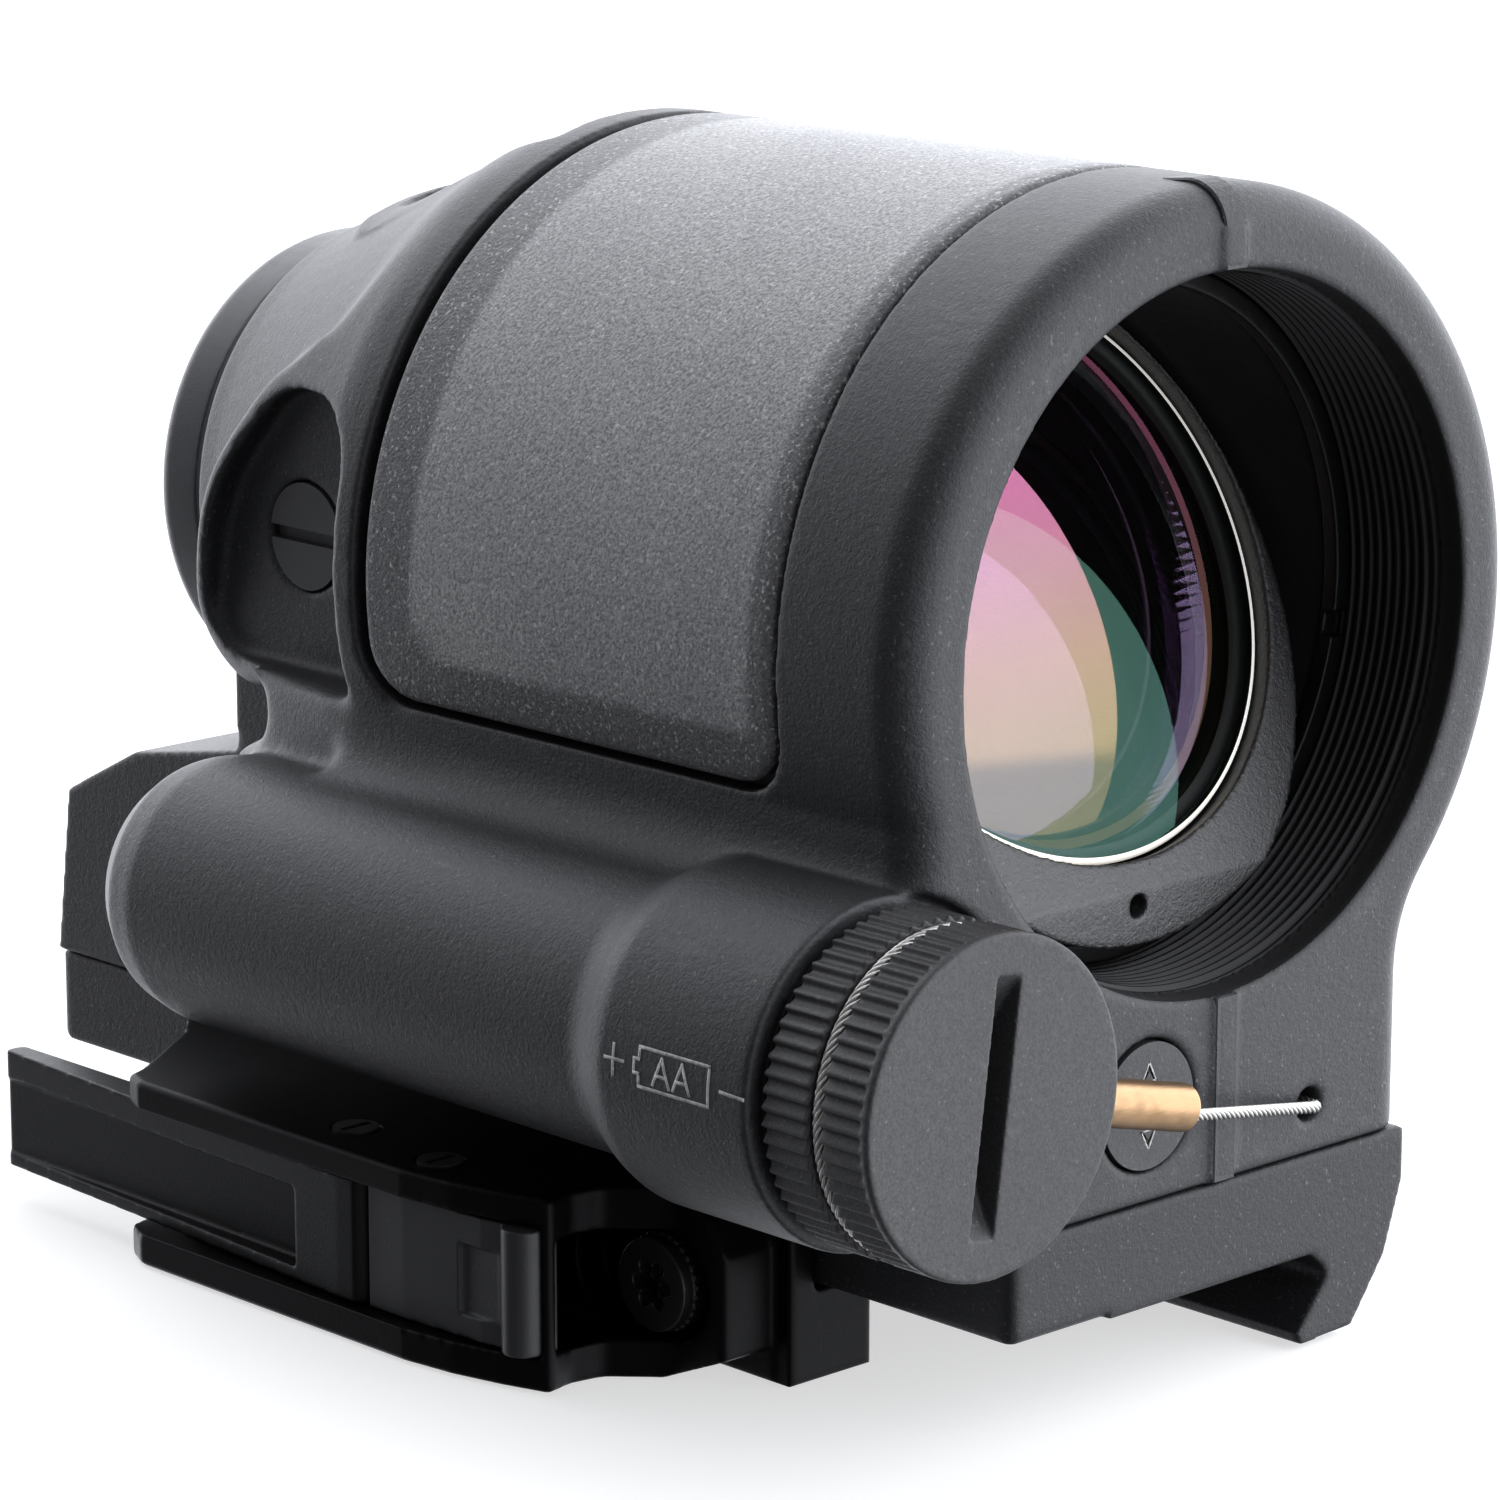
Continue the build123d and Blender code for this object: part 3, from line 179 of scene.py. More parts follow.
def cast_grain(p, tone, roughness, grain=1.0):
    """Colour, roughness and normal of bead-blasted, anodised aluminium."""
    fine = p.noise(5200, 3, 0.7)
    mid = p.noise(2200, 3, 0.6)
    broad = p.noise(55, 3, 0.5)
    pits = p.span(p.cells(1500), 0.10, 0.02)
    rare = p.span(p.noise(420, 2, 0.5), 0.60, 0.68)
    pits = p.math("MULTIPLY", pits, rare)
    dust = p.span(p.noise(3600, 1, 0.5), 0.66, 0.78)
    shade = p.ramp(broad, (0.3, tuple(c * 0.9 for c in tone)), (0.7, tuple(c * 1.1 for c in tone)))
    shade = p.mix(p.span(fine, 0.36, 0.62), tuple(c * 0.5 for c in tone), shade)
    shade = p.mix(p.math("MULTIPLY", dust, 0.20), shade, (0.32, 0.32, 0.33))
    # convex edges lightened: edge wear and a painted highlight
    shade = p.mix(p.math("MULTIPLY", p.edge_wear_and_highlight(0.54, 0.66), 0.2), shade, tuple(c * 2.2 + 0.03 for c in tone))
    shade = p.mix(p.math("MULTIPLY", pits, 0.7), shade, (0.004, 0.004, 0.004))
    rough = p.math("ADD", p.math("MULTIPLY", mid, 0.12), roughness - 0.06)
    height = p.math("ADD", p.math("MULTIPLY", fine, 0.5), p.math("MULTIPLY", mid, 0.5))
    height = p.math("SUBTRACT", height, pits)
    return shade, rough, p.bump(height, 0.00011 * grain, 0.8)


def sand_cast(name, tone, shine=0.5, roughness=0.5, grain=1.0):
    """Bead-blasted, anodised aluminium."""
    p = Paint(name)
    shade, rough, normal = cast_grain(p, tone, roughness, grain)
    return p.finish(p.surface(Base_Color=shade, Roughness=rough, Specular_IOR_Level=shine, Normal=normal))


def satin_black(name, tone, shine, roughness):
    """Machined and anodised: smoother than the cast pieces."""
    p = Paint(name)
    fine = p.noise(7000, 2, 0.6)
    broad = p.noise(70, 3, 0.5)
    shade = p.ramp(broad, (0.3, tuple(c * 0.85 for c in tone)), (0.7, tuple(c * 1.15 for c in tone)))
    # convex edges lightened: edge wear and a painted highlight
    shade = p.mix(p.math("MULTIPLY", p.edge_wear_and_highlight(0.60, 0.75), 0.25), shade, tuple(c * 3 + 0.012 for c in tone))
    rough = p.math("ADD", p.math("MULTIPLY", p.noise(900, 3, 0.6), 0.14), roughness - 0.07)
    return p.finish(p.surface(Base_Color=shade, Roughness=rough, Specular_IOR_Level=shine,
                              Normal=p.bump(fine, 0.00003, 0.5)))


def bare_metal(name, tone, roughness=0.3, along=(400, 6000, 6000)):
    """Bare metal with a drawn grain."""
    p = Paint(name)
    drawn = p.noise(1, 3, 0.6, p.scaled(*along))
    blotch = p.noise(500, 3, 0.6)
    shade = p.mix(p.span(blotch, 0.45, 0.75), tone, tuple(c * 0.72 for c in tone))
    rough = p.math("ADD", p.math("MULTIPLY", drawn, 0.22), roughness - 0.1)
    return p.finish(p.surface(Base_Color=shade, Metallic=1.0, Roughness=rough,
                              Normal=p.bump(drawn, 0.00002, 0.6)))


def soft_rubber(name, tone, roughness=0.6):
    """Matt moulded rubber."""
    p = Paint(name)
    fine = p.noise(5200, 3, 0.6)
    broad = p.noise(120, 3)
    shade = p.ramp(broad, (0.3, tuple(c * 0.85 for c in tone)), (0.7, tuple(c * 1.2 for c in tone)))
    return p.finish(p.surface(Base_Color=shade, Roughness=roughness, Specular_IOR_Level=0.35,
                              Normal=p.bump(fine, 0.00003, 0.6)))


# ---------------------------------------------------------------- mesh helpers
def linked(name, mesh, body, material, stands_for=(), smooth=True):
    """Object from a mesh, riding on a body and standing for CAD nodes."""
    mesh.name = name
    made = bpy.data.objects.new(name, mesh)
    bpy.context.scene.collection.objects.link(made)
    picks = np.zeros(len(mesh.polygons), np.int32)
    mesh.polygons.foreach_get("material_index", picks)
    mesh.materials.clear()
    for each in material if isinstance(material, (list, tuple)) else [material]:
        mesh.materials.append(each)
    if isinstance(material, (list, tuple)):
        mesh.polygons.foreach_set("material_index", picks)
    mesh.polygons.foreach_set("use_smooth", np.full(len(mesh.polygons), smooth))
    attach(made, body)
    if stands_for:
        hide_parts(*stands_for)
    return made


def points_of(mesh):
    """Vertex places as rows of an array."""
    flat = np.empty(len(mesh.vertices) * 3)
    mesh.vertices.foreach_get("co", flat)
    return flat.reshape(-1, 3)


def body_of(node):
    return next(b for b, nodes in frame["record"]["behaviour"]["bodies"].items() if node in nodes)


def relax(mesh, weight, rounds):
    """Smooths vertices towards their neighbours' middle, each by its weight."""
    at = points_of(mesh)
    edges = np.empty(len(mesh.edges) * 2, np.int64)
    mesh.edges.foreach_get("vertices", edges)
    edges = edges.reshape(-1, 2)
    moving = weight > 0.001
    edges = edges[moving[edges[:, 0]] | moving[edges[:, 1]]]
    ends = np.concatenate([edges[:, 0], edges[:, 1]])
    others = np.concatenate([edges[:, 1], edges[:, 0]])
    count = np.maximum(np.bincount(ends, minlength=len(at)), 1)
    for _ in range(rounds):
        middle = np.stack([np.bincount(ends, weights=at[others, k], minlength=len(at)) for k in range(3)], 1)
        at = at + weight[:, None] * moving[:, None] * (middle / count[:, None] - at)
    mesh.vertices.foreach_set("co", at.ravel())
    mesh.update()


def welded(node):
    """Copy of a CAD node's mesh with its seams closed."""
    mesh = frame["nodes"][node].data.copy()
    work = bmesh.new()
    work.from_mesh(mesh)
    bmesh.ops.remove_doubles(work, verts=work.verts, dist=1e-6)
    work.to_mesh(mesh)
    work.free()
    return mesh


def applied(mesh, *modifiers):
    """Mesh after modifiers, given as (kind, settings)."""
    holder = bpy.data.objects.new("holder", mesh)
    bpy.context.scene.collection.objects.link(holder)
    for kind, settings in modifiers:
        made = holder.modifiers.new(kind.lower(), kind)
        for key, value in settings.items():
            setattr(made, key, value)
    graph = bpy.context.evaluated_depsgraph_get()
    result = bpy.data.meshes.new_from_object(holder.evaluated_get(graph))
    bpy.data.objects.remove(holder)
    return result


def eased(node, voxel, rounds, keep=1.0, shape=None):
    """CAD node's form with its edges broken: remeshed, relaxed, then thinned."""
    mesh = applied(welded(node), ("REMESH", {"mode": "VOXEL", "voxel_size": voxel * MM}))
    relax(mesh, np.full(len(mesh.vertices), 0.5), rounds)
    if shape:
        shape(mesh)
    if keep < 1:
        mesh = applied(mesh, ("DECIMATE", {"ratio": keep}))
    return mesh


def show_eased(node, material, voxel, rounds, keep):
    """Shows the eased form in place of its CAD node."""
    linked(node + ".eased", eased(node, voxel, rounds, keep), body_of(node), material, [node])


def near(at, centre, reach):
    """1 at a point, falling to 0 at a distance in mm from it, stretched per axis."""
    gap = (at - np.array(centre)) / (np.array(reach) * MM)
    far = np.sqrt((gap ** 2).sum(1))
    return np.clip(1.6 * (1 - far), 0, 1)


# ---------------------------------------------------------------- camera, light, floor
CAMERA_AT = (-0.2590, -0.27795, 0.1147)
CAMERA_TURN, CAMERA_TILT = math.radians(-43.52), math.radians(13.12)    # from straight in front, from level
SENSOR, FOCAL_LENGTH = 36.0, 36.0 * 5869.8 / 1500

camera = bpy.data.objects.new("camera", bpy.data.cameras.new("camera"))
bpy.context.scene.collection.objects.link(camera)
bpy.context.scene.camera = camera
camera.location = CAMERA_AT
back = Vector((math.sin(CAMERA_TURN) * math.cos(CAMERA_TILT), -math.cos(CAMERA_TURN) * math.cos(CAMERA_TILT),
               math.sin(CAMERA_TILT)))
camera.rotation_mode = "QUATERNION"
camera.rotation_quaternion = (-back).to_track_quat("-Z", "Y")
camera.data.sensor_width = SENSOR
camera.data.lens = FOCAL_LENGTH
camera.data.clip_start, camera.data.clip_end = 0.01, 20

bpy.context.scene.view_settings.view_transform = "Standard"


def studio_world():
    """White studio: bright behind on the right, softer in front, dim to the left and low."""
    world = bpy.data.worlds.new("studio")
    world.use_nodes = True
    tree = world.node_tree
    back = tree.nodes["Background"]

    def joined(kind, a, b):
        made = tree.nodes.new("ShaderNodeMath")
        made.operation = kind
        for socket, value in zip(made.inputs, (a, b)):
            if isinstance(value, bpy.types.NodeSocket):
                tree.links.new(value, socket)
            else:
                socket.default_value = value
        return made.outputs[0]

    way = tree.nodes.new("ShaderNodeTexCoord").outputs["Generated"]

    def glow(towards, low, high, power):
        dot = tree.nodes.new("ShaderNodeVectorMath")
        dot.operation = "DOT_PRODUCT"
        tree.links.new(way, dot.inputs[0])
        dot.inputs[1].default_value = Vector(towards).normalized()
        band = tree.nodes.new("ShaderNodeMapRange")
        band.interpolation_type = "SMOOTHSTEP"
        tree.links.new(dot.outputs["Value"], band.inputs["Value"])
        band.inputs["From Min"].default_value = low
        band.inputs["From Max"].default_value = high
        band.inputs["To Max"].default_value = power
        return band.outputs[0]

    front = joined("MULTIPLY", glow(*FRONT_GLOW), glow((0, 0, 1), HORIZON[0], HORIZON[1], 1 - DIMMED))
    front = joined("ADD", front, joined("MULTIPLY", glow(*FRONT_GLOW), DIMMED))
    total = joined("ADD", front, FILL)
    for lobe in GLOWS:
        total = joined("ADD", glow(*lobe), total)
    tree.links.new(total, back.inputs["Strength"])
    back.inputs["Color"].default_value = (*DAYLIGHT, 1)
    bpy.context.scene.world = world


# each glow: direction, where it starts and is full as a cosine, strength
DAYLIGHT = (0.965, 0.985, 1.05)
FILL = 0.165
GLOWS = [((0.56, 0.80, 0.22), 0.2, 0.95, 3.3), ((0.0, 0.0, 1.0), 0.3, 1.0, 0.12)]
FRONT_GLOW = ((0.7, -0.7, -0.05), 0.1, 0.95, 2.95)
HORIZON = (-0.335, -0.30)        # the table's far edge, as the sine of its elevation
DIMMED = 0.38                    # how bright the front glow is below it
studio_world()


def softbox(name, place, target, size, power, tint=(1, 1, 1)):
    data = bpy.data.lights.new(name, "AREA")
    data.shape = "RECTANGLE"
    data.size, data.size_y = size
    data.energy = power
    data.color = tint
    lamp = bpy.data.objects.new(name, data)
    bpy.context.scene.collection.objects.link(lamp)
    lamp.location = place
    lamp.rotation_mode = "QUATERNION"
    lamp.rotation_quaternion = (Vector(target) - Vector(place)).to_track_quat("-Z", "Y")
    return lamp


softbox("overhead", (-0.10, 0.10, 0.75), (0, 0, 0.03), (0.6, 0.6), 0.5)
table_glow = softbox("table_glow", (0.10, -0.17, -0.004), (-0.01, -0.047, 0.02), (0.14, 0.10), 0.12)
table_glow.visible_glossy = False

FLOOR_RADIUS, FLOOR_GAP = 3.0, 0.0001
work = bmesh.new()
bmesh.ops.create_circle(work, cap_ends=True, segments=96, radius=FLOOR_RADIUS)
floor_mesh = bpy.data.meshes.new("floor")
work.to_mesh(floor_mesh)
work.free()
floor = bpy.data.objects.new("floor", floor_mesh)
bpy.context.scene.collection.objects.link(floor)
floor.location.z = cad_low.z - FLOOR_GAP
floor.visible_glossy = False
floor.visible_diffuse = False
p = Paint("pale_floor")
floor_mesh.materials.append(p.finish(p.surface(Base_Color=(0.6, 0.6, 0.6), Roughness=0.9,
                                               Specular_IOR_Level=0.0, Emission_Color=(1, 1, 1),
                                               Emission_Strength=0.6)))

# ---------------------------------------------------------------- materials
CHARCOAL = (0.022, 0.0225, 0.0245)
DEAD_BLACK = (0.003, 0.003, 0.003)
mount_skin = sand_cast("mount_base_coat", (0.014, 0.0143, 0.0158), 0.45, 0.5)
# clamp and lever: their own deeper black, with painted shade added in the dark tone and low shine for the
# shadow under the battery tube
clamp_black_and_shade = satin_black("clamp_black_and_shade", (0.002, 0.002, 0.0021), 0.08, 0.42)
# latch: a lighter copy of the lever's black, painted light for how light falls on its face
latch_coat_painted_lighter = satin_black("latch_coat_painted_lighter", (0.03, 0.03, 0.0305), 0.35, 0.42)
# lever: its own black deepened with painted shade from the tube above
lever_black_and_shade = satin_black("lever_black_and_shade", (0.003, 0.003, 0.0032), 0.16, 0.42)
cap_coat = sand_cast("cap_coat", (0.045, 0.045, 0.046), 0.5, 0.55, 0.5)
cell_coat = sand_cast("cell_coat", (0.022, 0.022, 0.0225), 0.9, 0.42, 1.6)
dark_bore = satin_black("dark_bore", DEAD_BLACK, 0.2, 0.4)
eye_coat = satin_black("eyepiece_coat", (0.018, 0.019, 0.023), 0.5, 0.42)
knob_coat = satin_black("knob_coat", (0.01, 0.01, 0.01), 0.4, 0.4)
adjuster_coat = satin_black("adjuster_coat", (0.04, 0.04, 0.041), 0.5, 0.5)
steel = bare_metal("stainless", (0.55, 0.55, 0.54), 0.3)
black_steel = satin_black("blackened_steel", (0.02, 0.02, 0.021), 0.5, 0.35)
brass = bare_metal("brass", (0.44, 0.28, 0.15), 0.36, (500, 7000, 7000))
wire_steel = bare_metal("wire_steel", (0.62, 0.61, 0.58), 0.32, (3000, 3000, 3000))
rubber = soft_rubber("seal_rubber", (0.015, 0.015, 0.015))
rocker_rubber = sand_cast("rocker_rubber", (0.026, 0.0265, 0.028), 0.5, 0.5, 0.6)


def housing_paint():
    """Charcoal outside, dead black inside the bore."""
    p = Paint("housing_coat")
    x, y, z = p.axes()
    rise = p.math("SUBTRACT", z, AXIS_Z)
    radius = p.math("SQRT", p.math("ADD", p.math("MULTIPLY", x, x), p.math("MULTIPLY", rise, rise)))
    limit = p.span(y, depth(30), depth(72), 22.36 * MM, 16.3 * MM)     # just outside the tapering bore
    inside = p.math("MULTIPLY", p.math("LESS_THAN", radius, limit), p.math("GREATER_THAN", y, depth(0.12)))
    shade, rough, normal = cast_grain(p, CHARCOAL, 0.5)
    shade = p.mix(inside, shade, DEAD_BLACK)
    rough = p.math("MAXIMUM", rough, inside)
    return p.finish(p.surface(Base_Color=shade, Roughness=rough, Specular_IOR_Level=0.5, Normal=normal))


# ---------------------------------------------------------------- housing
# blends as (x, depth, z) and reach in mm: under the side boss, along the tube's step, up the strap beside it
BLENDS = [((-24, 62, 29), (9, 12, 9)), ((-24, 50, 30), (6, 8, 5)), ((-24, 70, 27), (8, 6, 6)),
          ((-28, 15.5, 19), (13, 4, 13)), ((-23.6, 65.6, 48.6), (5, 3.5, 4)), ((-22.6, 62, 53), (5, 4, 3.6)),
          ((-21, 57.5, 57), (6, 5, 5)), ((-17.9, 55.3, 61), (6, 5, 6)), ((-10, 55, 66), (8, 5, 4))]
ADJUSTER_DEPTH, ADJUSTER_RISE = 60.9, 0.5 * MM
MOUTH_R, THREAD_CLEAR_R = 22.3 * MM, 22.55 * MM


def shape_housing(mesh):
    """Melts the housing's blends together, softens its pockets and trues its mouth."""
    at = points_of(mesh)
    x, y, z = at[:, 0], at[:, 1], at[:, 2]
    weight = np.zeros(len(at))
    for centre, reach in BLENDS:
        spot = (centre[0] * MM, depth(centre[1]), centre[2] * MM)
        weight = np.maximum(weight, near(at, spot, reach))
    pocket = (z > AXIS_Z - 12 * MM) & (z < AXIS_Z + 14 * MM) & (x < -20.3 * MM) & (x > -24 * MM)
    weight[pocket & (y > depth(52)) & (y < depth(72))] = 0
    radius = np.hypot(x, z - AXIS_Z)
    weight[radius < 23.4 * MM] = 0
    relax(mesh, weight * 0.5, 90)
    # soften both adjuster pockets' rims, but not the holes in their floors
    at = points_of(mesh)
    x, y, rise = at[:, 0], at[:, 1], at[:, 2] - AXIS_Z
    for out, across in ((-x, rise), (rise, x)):
        rim = (out > 19.2 * MM) & (abs(across - 1.5 * MM) < 14.5 * MM)
        rim &= (y > depth(50.9)) & (y < depth(73))
        hole = np.hypot(y - depth(ADJUSTER_DEPTH), across - ADJUSTER_RISE) < 5.6 * MM
        relax(mesh, np.where(rim & ~hole, 0.5, 0), 14)
    # clear room for the cut thread and true the mouth
    at = points_of(mesh)
    radius = np.maximum(np.hypot(at[:, 0], at[:, 2] - AXIS_Z), 1e-6)
    y = at[:, 1]
    threaded = (y > depth(1.9)) & (y < depth(9.9)) & (radius < 22.5 * MM) & (radius > 21.3 * MM)
    mouth = (y > depth(0.2)) & (y < depth(1.6)) & (abs(radius - MOUTH_R) < 0.3 * MM)
    push = np.where(threaded, THREAD_CLEAR_R / radius, np.where(mouth, MOUTH_R / radius, 1))
    at[:, 0] *= push
    at[:, 2] = AXIS_Z + (at[:, 2] - AXIS_Z) * push
    mesh.vertices.foreach_set("co", at.ravel())


HOUSING_VOXEL = 0.23
housing_mesh = eased("main_housing", HOUSING_VOXEL, 6, 0.5, shape_housing)
housing = linked("housing_shell", housing_mesh, "sight", housing_paint(), ["main_housing"])


def turned_thread():
    """Helical front thread."""
    around, pitch, start, end = 240, 0.75, 1.75, 10.1
    root, crest = 22.33, 21.9
    steps = 16
    rows = int((end - start) / pitch * steps)
    verts, faces = [], []
    for i in range(rows + 1):
        place = start + i * pitch / steps
        for j in range(around):
            swing = 2 * math.pi * j / around
            phase = (place / pitch - j / around) % 1.0
            rise = abs(2 * phase - 1)                      # 0 at the root, 1 at the crest
            rise = min(max((rise - 0.08) / 0.8, 0), 1)
            fade = min(1, (place - start) / 0.7, (end - place) / 0.6)
            r = root - (root - crest) * rise * max(fade, 0)
            verts.append((r * MM * math.cos(swing), depth(place), AXIS_Z + r * MM * math.sin(swing)))
    for i in range(rows):
        for j in range(around):
            a, b = i * around + j, i * around + (j + 1) % around
            faces.append((a, b, b + around, a + around))
    mesh = bpy.data.meshes.new("thread")
    mesh.from_pydata(verts, [], faces)
    return mesh


thread_black = satin_black("thread_black", DEAD_BLACK, 0.2, 0.35)
linked("front_thread", turned_thread(), "sight", thread_black)


def rib_mesh(path, width, x_middle, edge=0.12):
    """Strip proud of the skin: path of (depth, z, outward depth, outward z, height) in mm."""
    verts, faces = [], []
    top = 0.5 - edge / width
    across = [(-0.5, -1), (-0.5, 0), (-top, edge), (top, edge), (0.5, 0), (0.5, -1)]
    for deep, z, out_deep, out_z, height in path:
        for side, lift in across:
            tall = {-1: -0.3, 0: height - edge, edge: height}[lift]
            verts.append(((x_middle + side * width) * MM, depth(deep + out_deep * tall),
                          (z + out_z * tall) * MM))
    n = len(across)
    for i in range(len(path) - 1):
        for k in range(n - 1):
            a = i * n + k
            faces.append((a, a + n, a + n + 1, a + 1))
    faces.append(tuple(range(n)))
    faces.append(tuple(reversed(range((len(path) - 1) * n, len(path) * n))))
    mesh = bpy.data.meshes.new("rib")
    mesh.from_pydata(verts, [], faces)
    return mesh


lower = [(0, z, -1, 0, 0.34) for z in np.linspace(6.9, 18.6, 8)]
upper = [(0, z, -1, 0, 0.30) for z in np.linspace(63.45, 65.4, 4)]
for swing in np.linspace(0, math.pi / 2, 9)[1:]:
    out_deep, out_z = -math.cos(swing), math.sin(swing)
    upper.append((2.8 + 2.8 * out_deep, 65.6 + 2.8 * out_z, out_deep, out_z, 0.26))
upper.append((5.0, 68.38, 0, 1, 0.05))
RIB_WIDTH = 2.0
for name, path, middle in (("lower_rib", lower, 0.4), ("upper_rib", upper, 0.1)):
    linked(name, rib_mesh(path, RIB_WIDTH, middle), "sight", housing.data.materials[0],
           smooth=False)

# ---------------------------------------------------------------- eased metal pieces
# node, coat, voxel in mm, rounds of relaxing, share of the faces kept
EASED = [("mount_base", mount_skin, 0.25, 2, 0.5), ("clamp_body", clamp_black_and_shade, 0.2, 2, 0.5),
         ("moving_jaw", clamp_black_and_shade, 0.2, 2, 0.6), ("throw_lever", lever_black_and_shade, 0.14, 2, 0.5),
         ("lever_latch", latch_coat_painted_lighter, 0.12, 2, 0.5), ("lens_cell", cell_coat, 0.2, 2, 0.6),
         ("eyepiece_ring", eye_coat, 0.22, 3, 0.6), ("tension_screw", knob_coat, 0.07, 2, 0.5),
         ("battery_cap", cap_coat, 0.13, 1, 0.5), ("ferrule", brass, 0.08, 3, 1.0),
         ("bore_retainer", dark_bore, 0.12, 1, 0.6)]
for piece in EASED:
    show_eased(*piece)


# ---------------------------------------------------------------- optics
def about(profile, origin, axis, around=160):
    """Closed mesh turned about an axis from (level along it, radius in mm, material) rings."""
    axis = Vector(axis).normalized()
    side = axis.orthogonal().normalized()
    over = axis.cross(side)
    verts, faces, picks = [], [], []
    for level, radius, _ in profile:
        for j in range(around):
            swing = 2 * math.pi * j / around
            verts.append(Vector(origin) + axis * level * MM
                         + (side * math.cos(swing) + over * math.sin(swing)) * radius * MM)
    for i in range(len(profile) - 1):
        for j in range(around):
            k = (j + 1) % around
            faces.append((i * around + j, (i + 1) * around + j, (i + 1) * around + k, i * around + k))
            picks.append(profile[i + 1][2])
    mesh = bpy.data.meshes.new("turned")
    mesh.from_pydata([tuple(v) for v in verts], [], faces)
    mesh.polygons.foreach_set("material_index", np.array(picks, np.int32))
    return mesh


COAT_HAZE = 0.02


def sag(bulge, radius):
    return bulge - math.sqrt(bulge * bulge - radius * radius)


def coated(name, tones, low, high, tint=(1, 1, 1), figure=None):
    """Thin reflecting coat that light also passes; its colour runs from low to high up the sight.

    figure is a shape for its reflection alone, fitted by least squares to the arcs that show in
    such a lens: level along the lens axis, curvature per mm, tilt, side angle. The mesh has its own curve.
    """
    p = Paint(name)
    x, y, z = p.axes()
    shade = p.ramp(p.span(z, low * MM, high * MM), *tones)
    film = p.noise(70, 3, 0.5)
    shade = p.mix(p.math("MULTIPLY", film, 0.16), shade, (0, 0, 0))
    mirror = p.node("ShaderNodeBsdfGlossy")
    p.feed(mirror.inputs["Color"], shade)
    p.feed(mirror.inputs["Roughness"], COAT_HAZE)
    if figure:
        level, bend, tilt, side = figure
        tilt, side = math.radians(tilt), math.radians(side)
        out = Vector((math.sin(side) * math.cos(tilt), -math.cos(tilt) * math.cos(side), math.sin(tilt)))
        bend /= MM
        lean = p.node("ShaderNodeVectorMath", operation="MULTIPLY_ADD")
        p.feed(lean.inputs[0], p.place)
        lean.inputs[1].default_value = (bend, bend, bend)
        lean.inputs[2].default_value = out - (LENS_AT + LENS_OUT * level * MM) * bend
        unit = p.node("ShaderNodeVectorMath", operation="NORMALIZE")
        p.feed(unit.inputs[0], lean.outputs[0])
        p.feed(mirror.inputs["Normal"], unit.outputs[0])
    clear = p.node("ShaderNodeBsdfTransparent")
    p.feed(clear.inputs["Color"], tint)
    both = p.node("ShaderNodeAddShader")
    p.feed(both.inputs[0], clear.outputs[0])
    p.feed(both.inputs[1], mirror.outputs[0])
    return p.finish(both.outputs[0])


def ground_edge_painted_glow():
    """Frosted rim of a lens with a painted glow, emitting light though it is no lamp; warm towards the
    bottom as a painted fringe where colours split.
    """
    p = Paint("ground_glass_edge_painted_glow")
    fine = p.noise(9000, 2, 0.6)
    x, y, z = p.axes()
    # painted colour fringe of the lit rim: warmer towards the bottom
    shade = p.mix(p.span(z, 25 * MM, 32 * MM), (0.95, 0.86, 0.72), (0.9, 0.9, 0.85))
    # painted glow: the emission lights the rim though it is no lamp
    return p.finish(p.surface(Base_Color=shade, Roughness=0.35, Specular_IOR_Level=0.8, Coat_Weight=0.5,
                              Emission_Color=(1, 0.98, 0.92), Emission_Strength=0.45,
                              Normal=p.bump(fine, 0.00002, 0.4)))


TILT = math.radians(25.6)
LENS_AT = Vector((0, depth(15.4), 43.4 * MM))
LENS_OUT = Vector((0, -math.cos(TILT), math.sin(TILT)))
LENS_R = 19.1
FRONT_CURVE, CEMENT_CURVE, REAR_CURVE = 60, 80, 67.6       # radii in mm
RINGS = 40

front_coat = coated("front_coating", ((0.0, (0.0175, 0.042, 0.034)), (1.0, (0.019, 0.043, 0.030))), 25, 58,
                    (0.95, 0.97, 0.96), (2.0, 0.01459, 24.98, 0.41))
mirror_coat = coated("mirror_coating", ((0.0, (0.17, 0.105, 0.048)), (0.25, (0.205, 0.103, 0.072)),
                                        (0.6, (0.23, 0.088, 0.120)), (0.9, (0.26, 0.078, 0.150))), 30, 54,
                     (0.8, 0.85, 0.85), (-0.2, 0.01666, 6.71, -0.66))
rear_coat = coated("rear_coating", ((0.0, (0.085, 0.055, 0.095)), (1.0, (0.085, 0.045, 0.095))), 25, 58,
                   (0.95, 0.97, 0.96), (-4.1, -0.00729, 3.88, 1.75))
inner_coat = coated("inner_coating", ((0.0, (0.004, 0.006, 0.004)), (1.0, (0.004, 0.006, 0.004))), 25, 58)
edge_black = satin_black("lens_edge_black", DEAD_BLACK, 0.2, 0.4)
edge_glass_painted_glow = ground_edge_painted_glow()

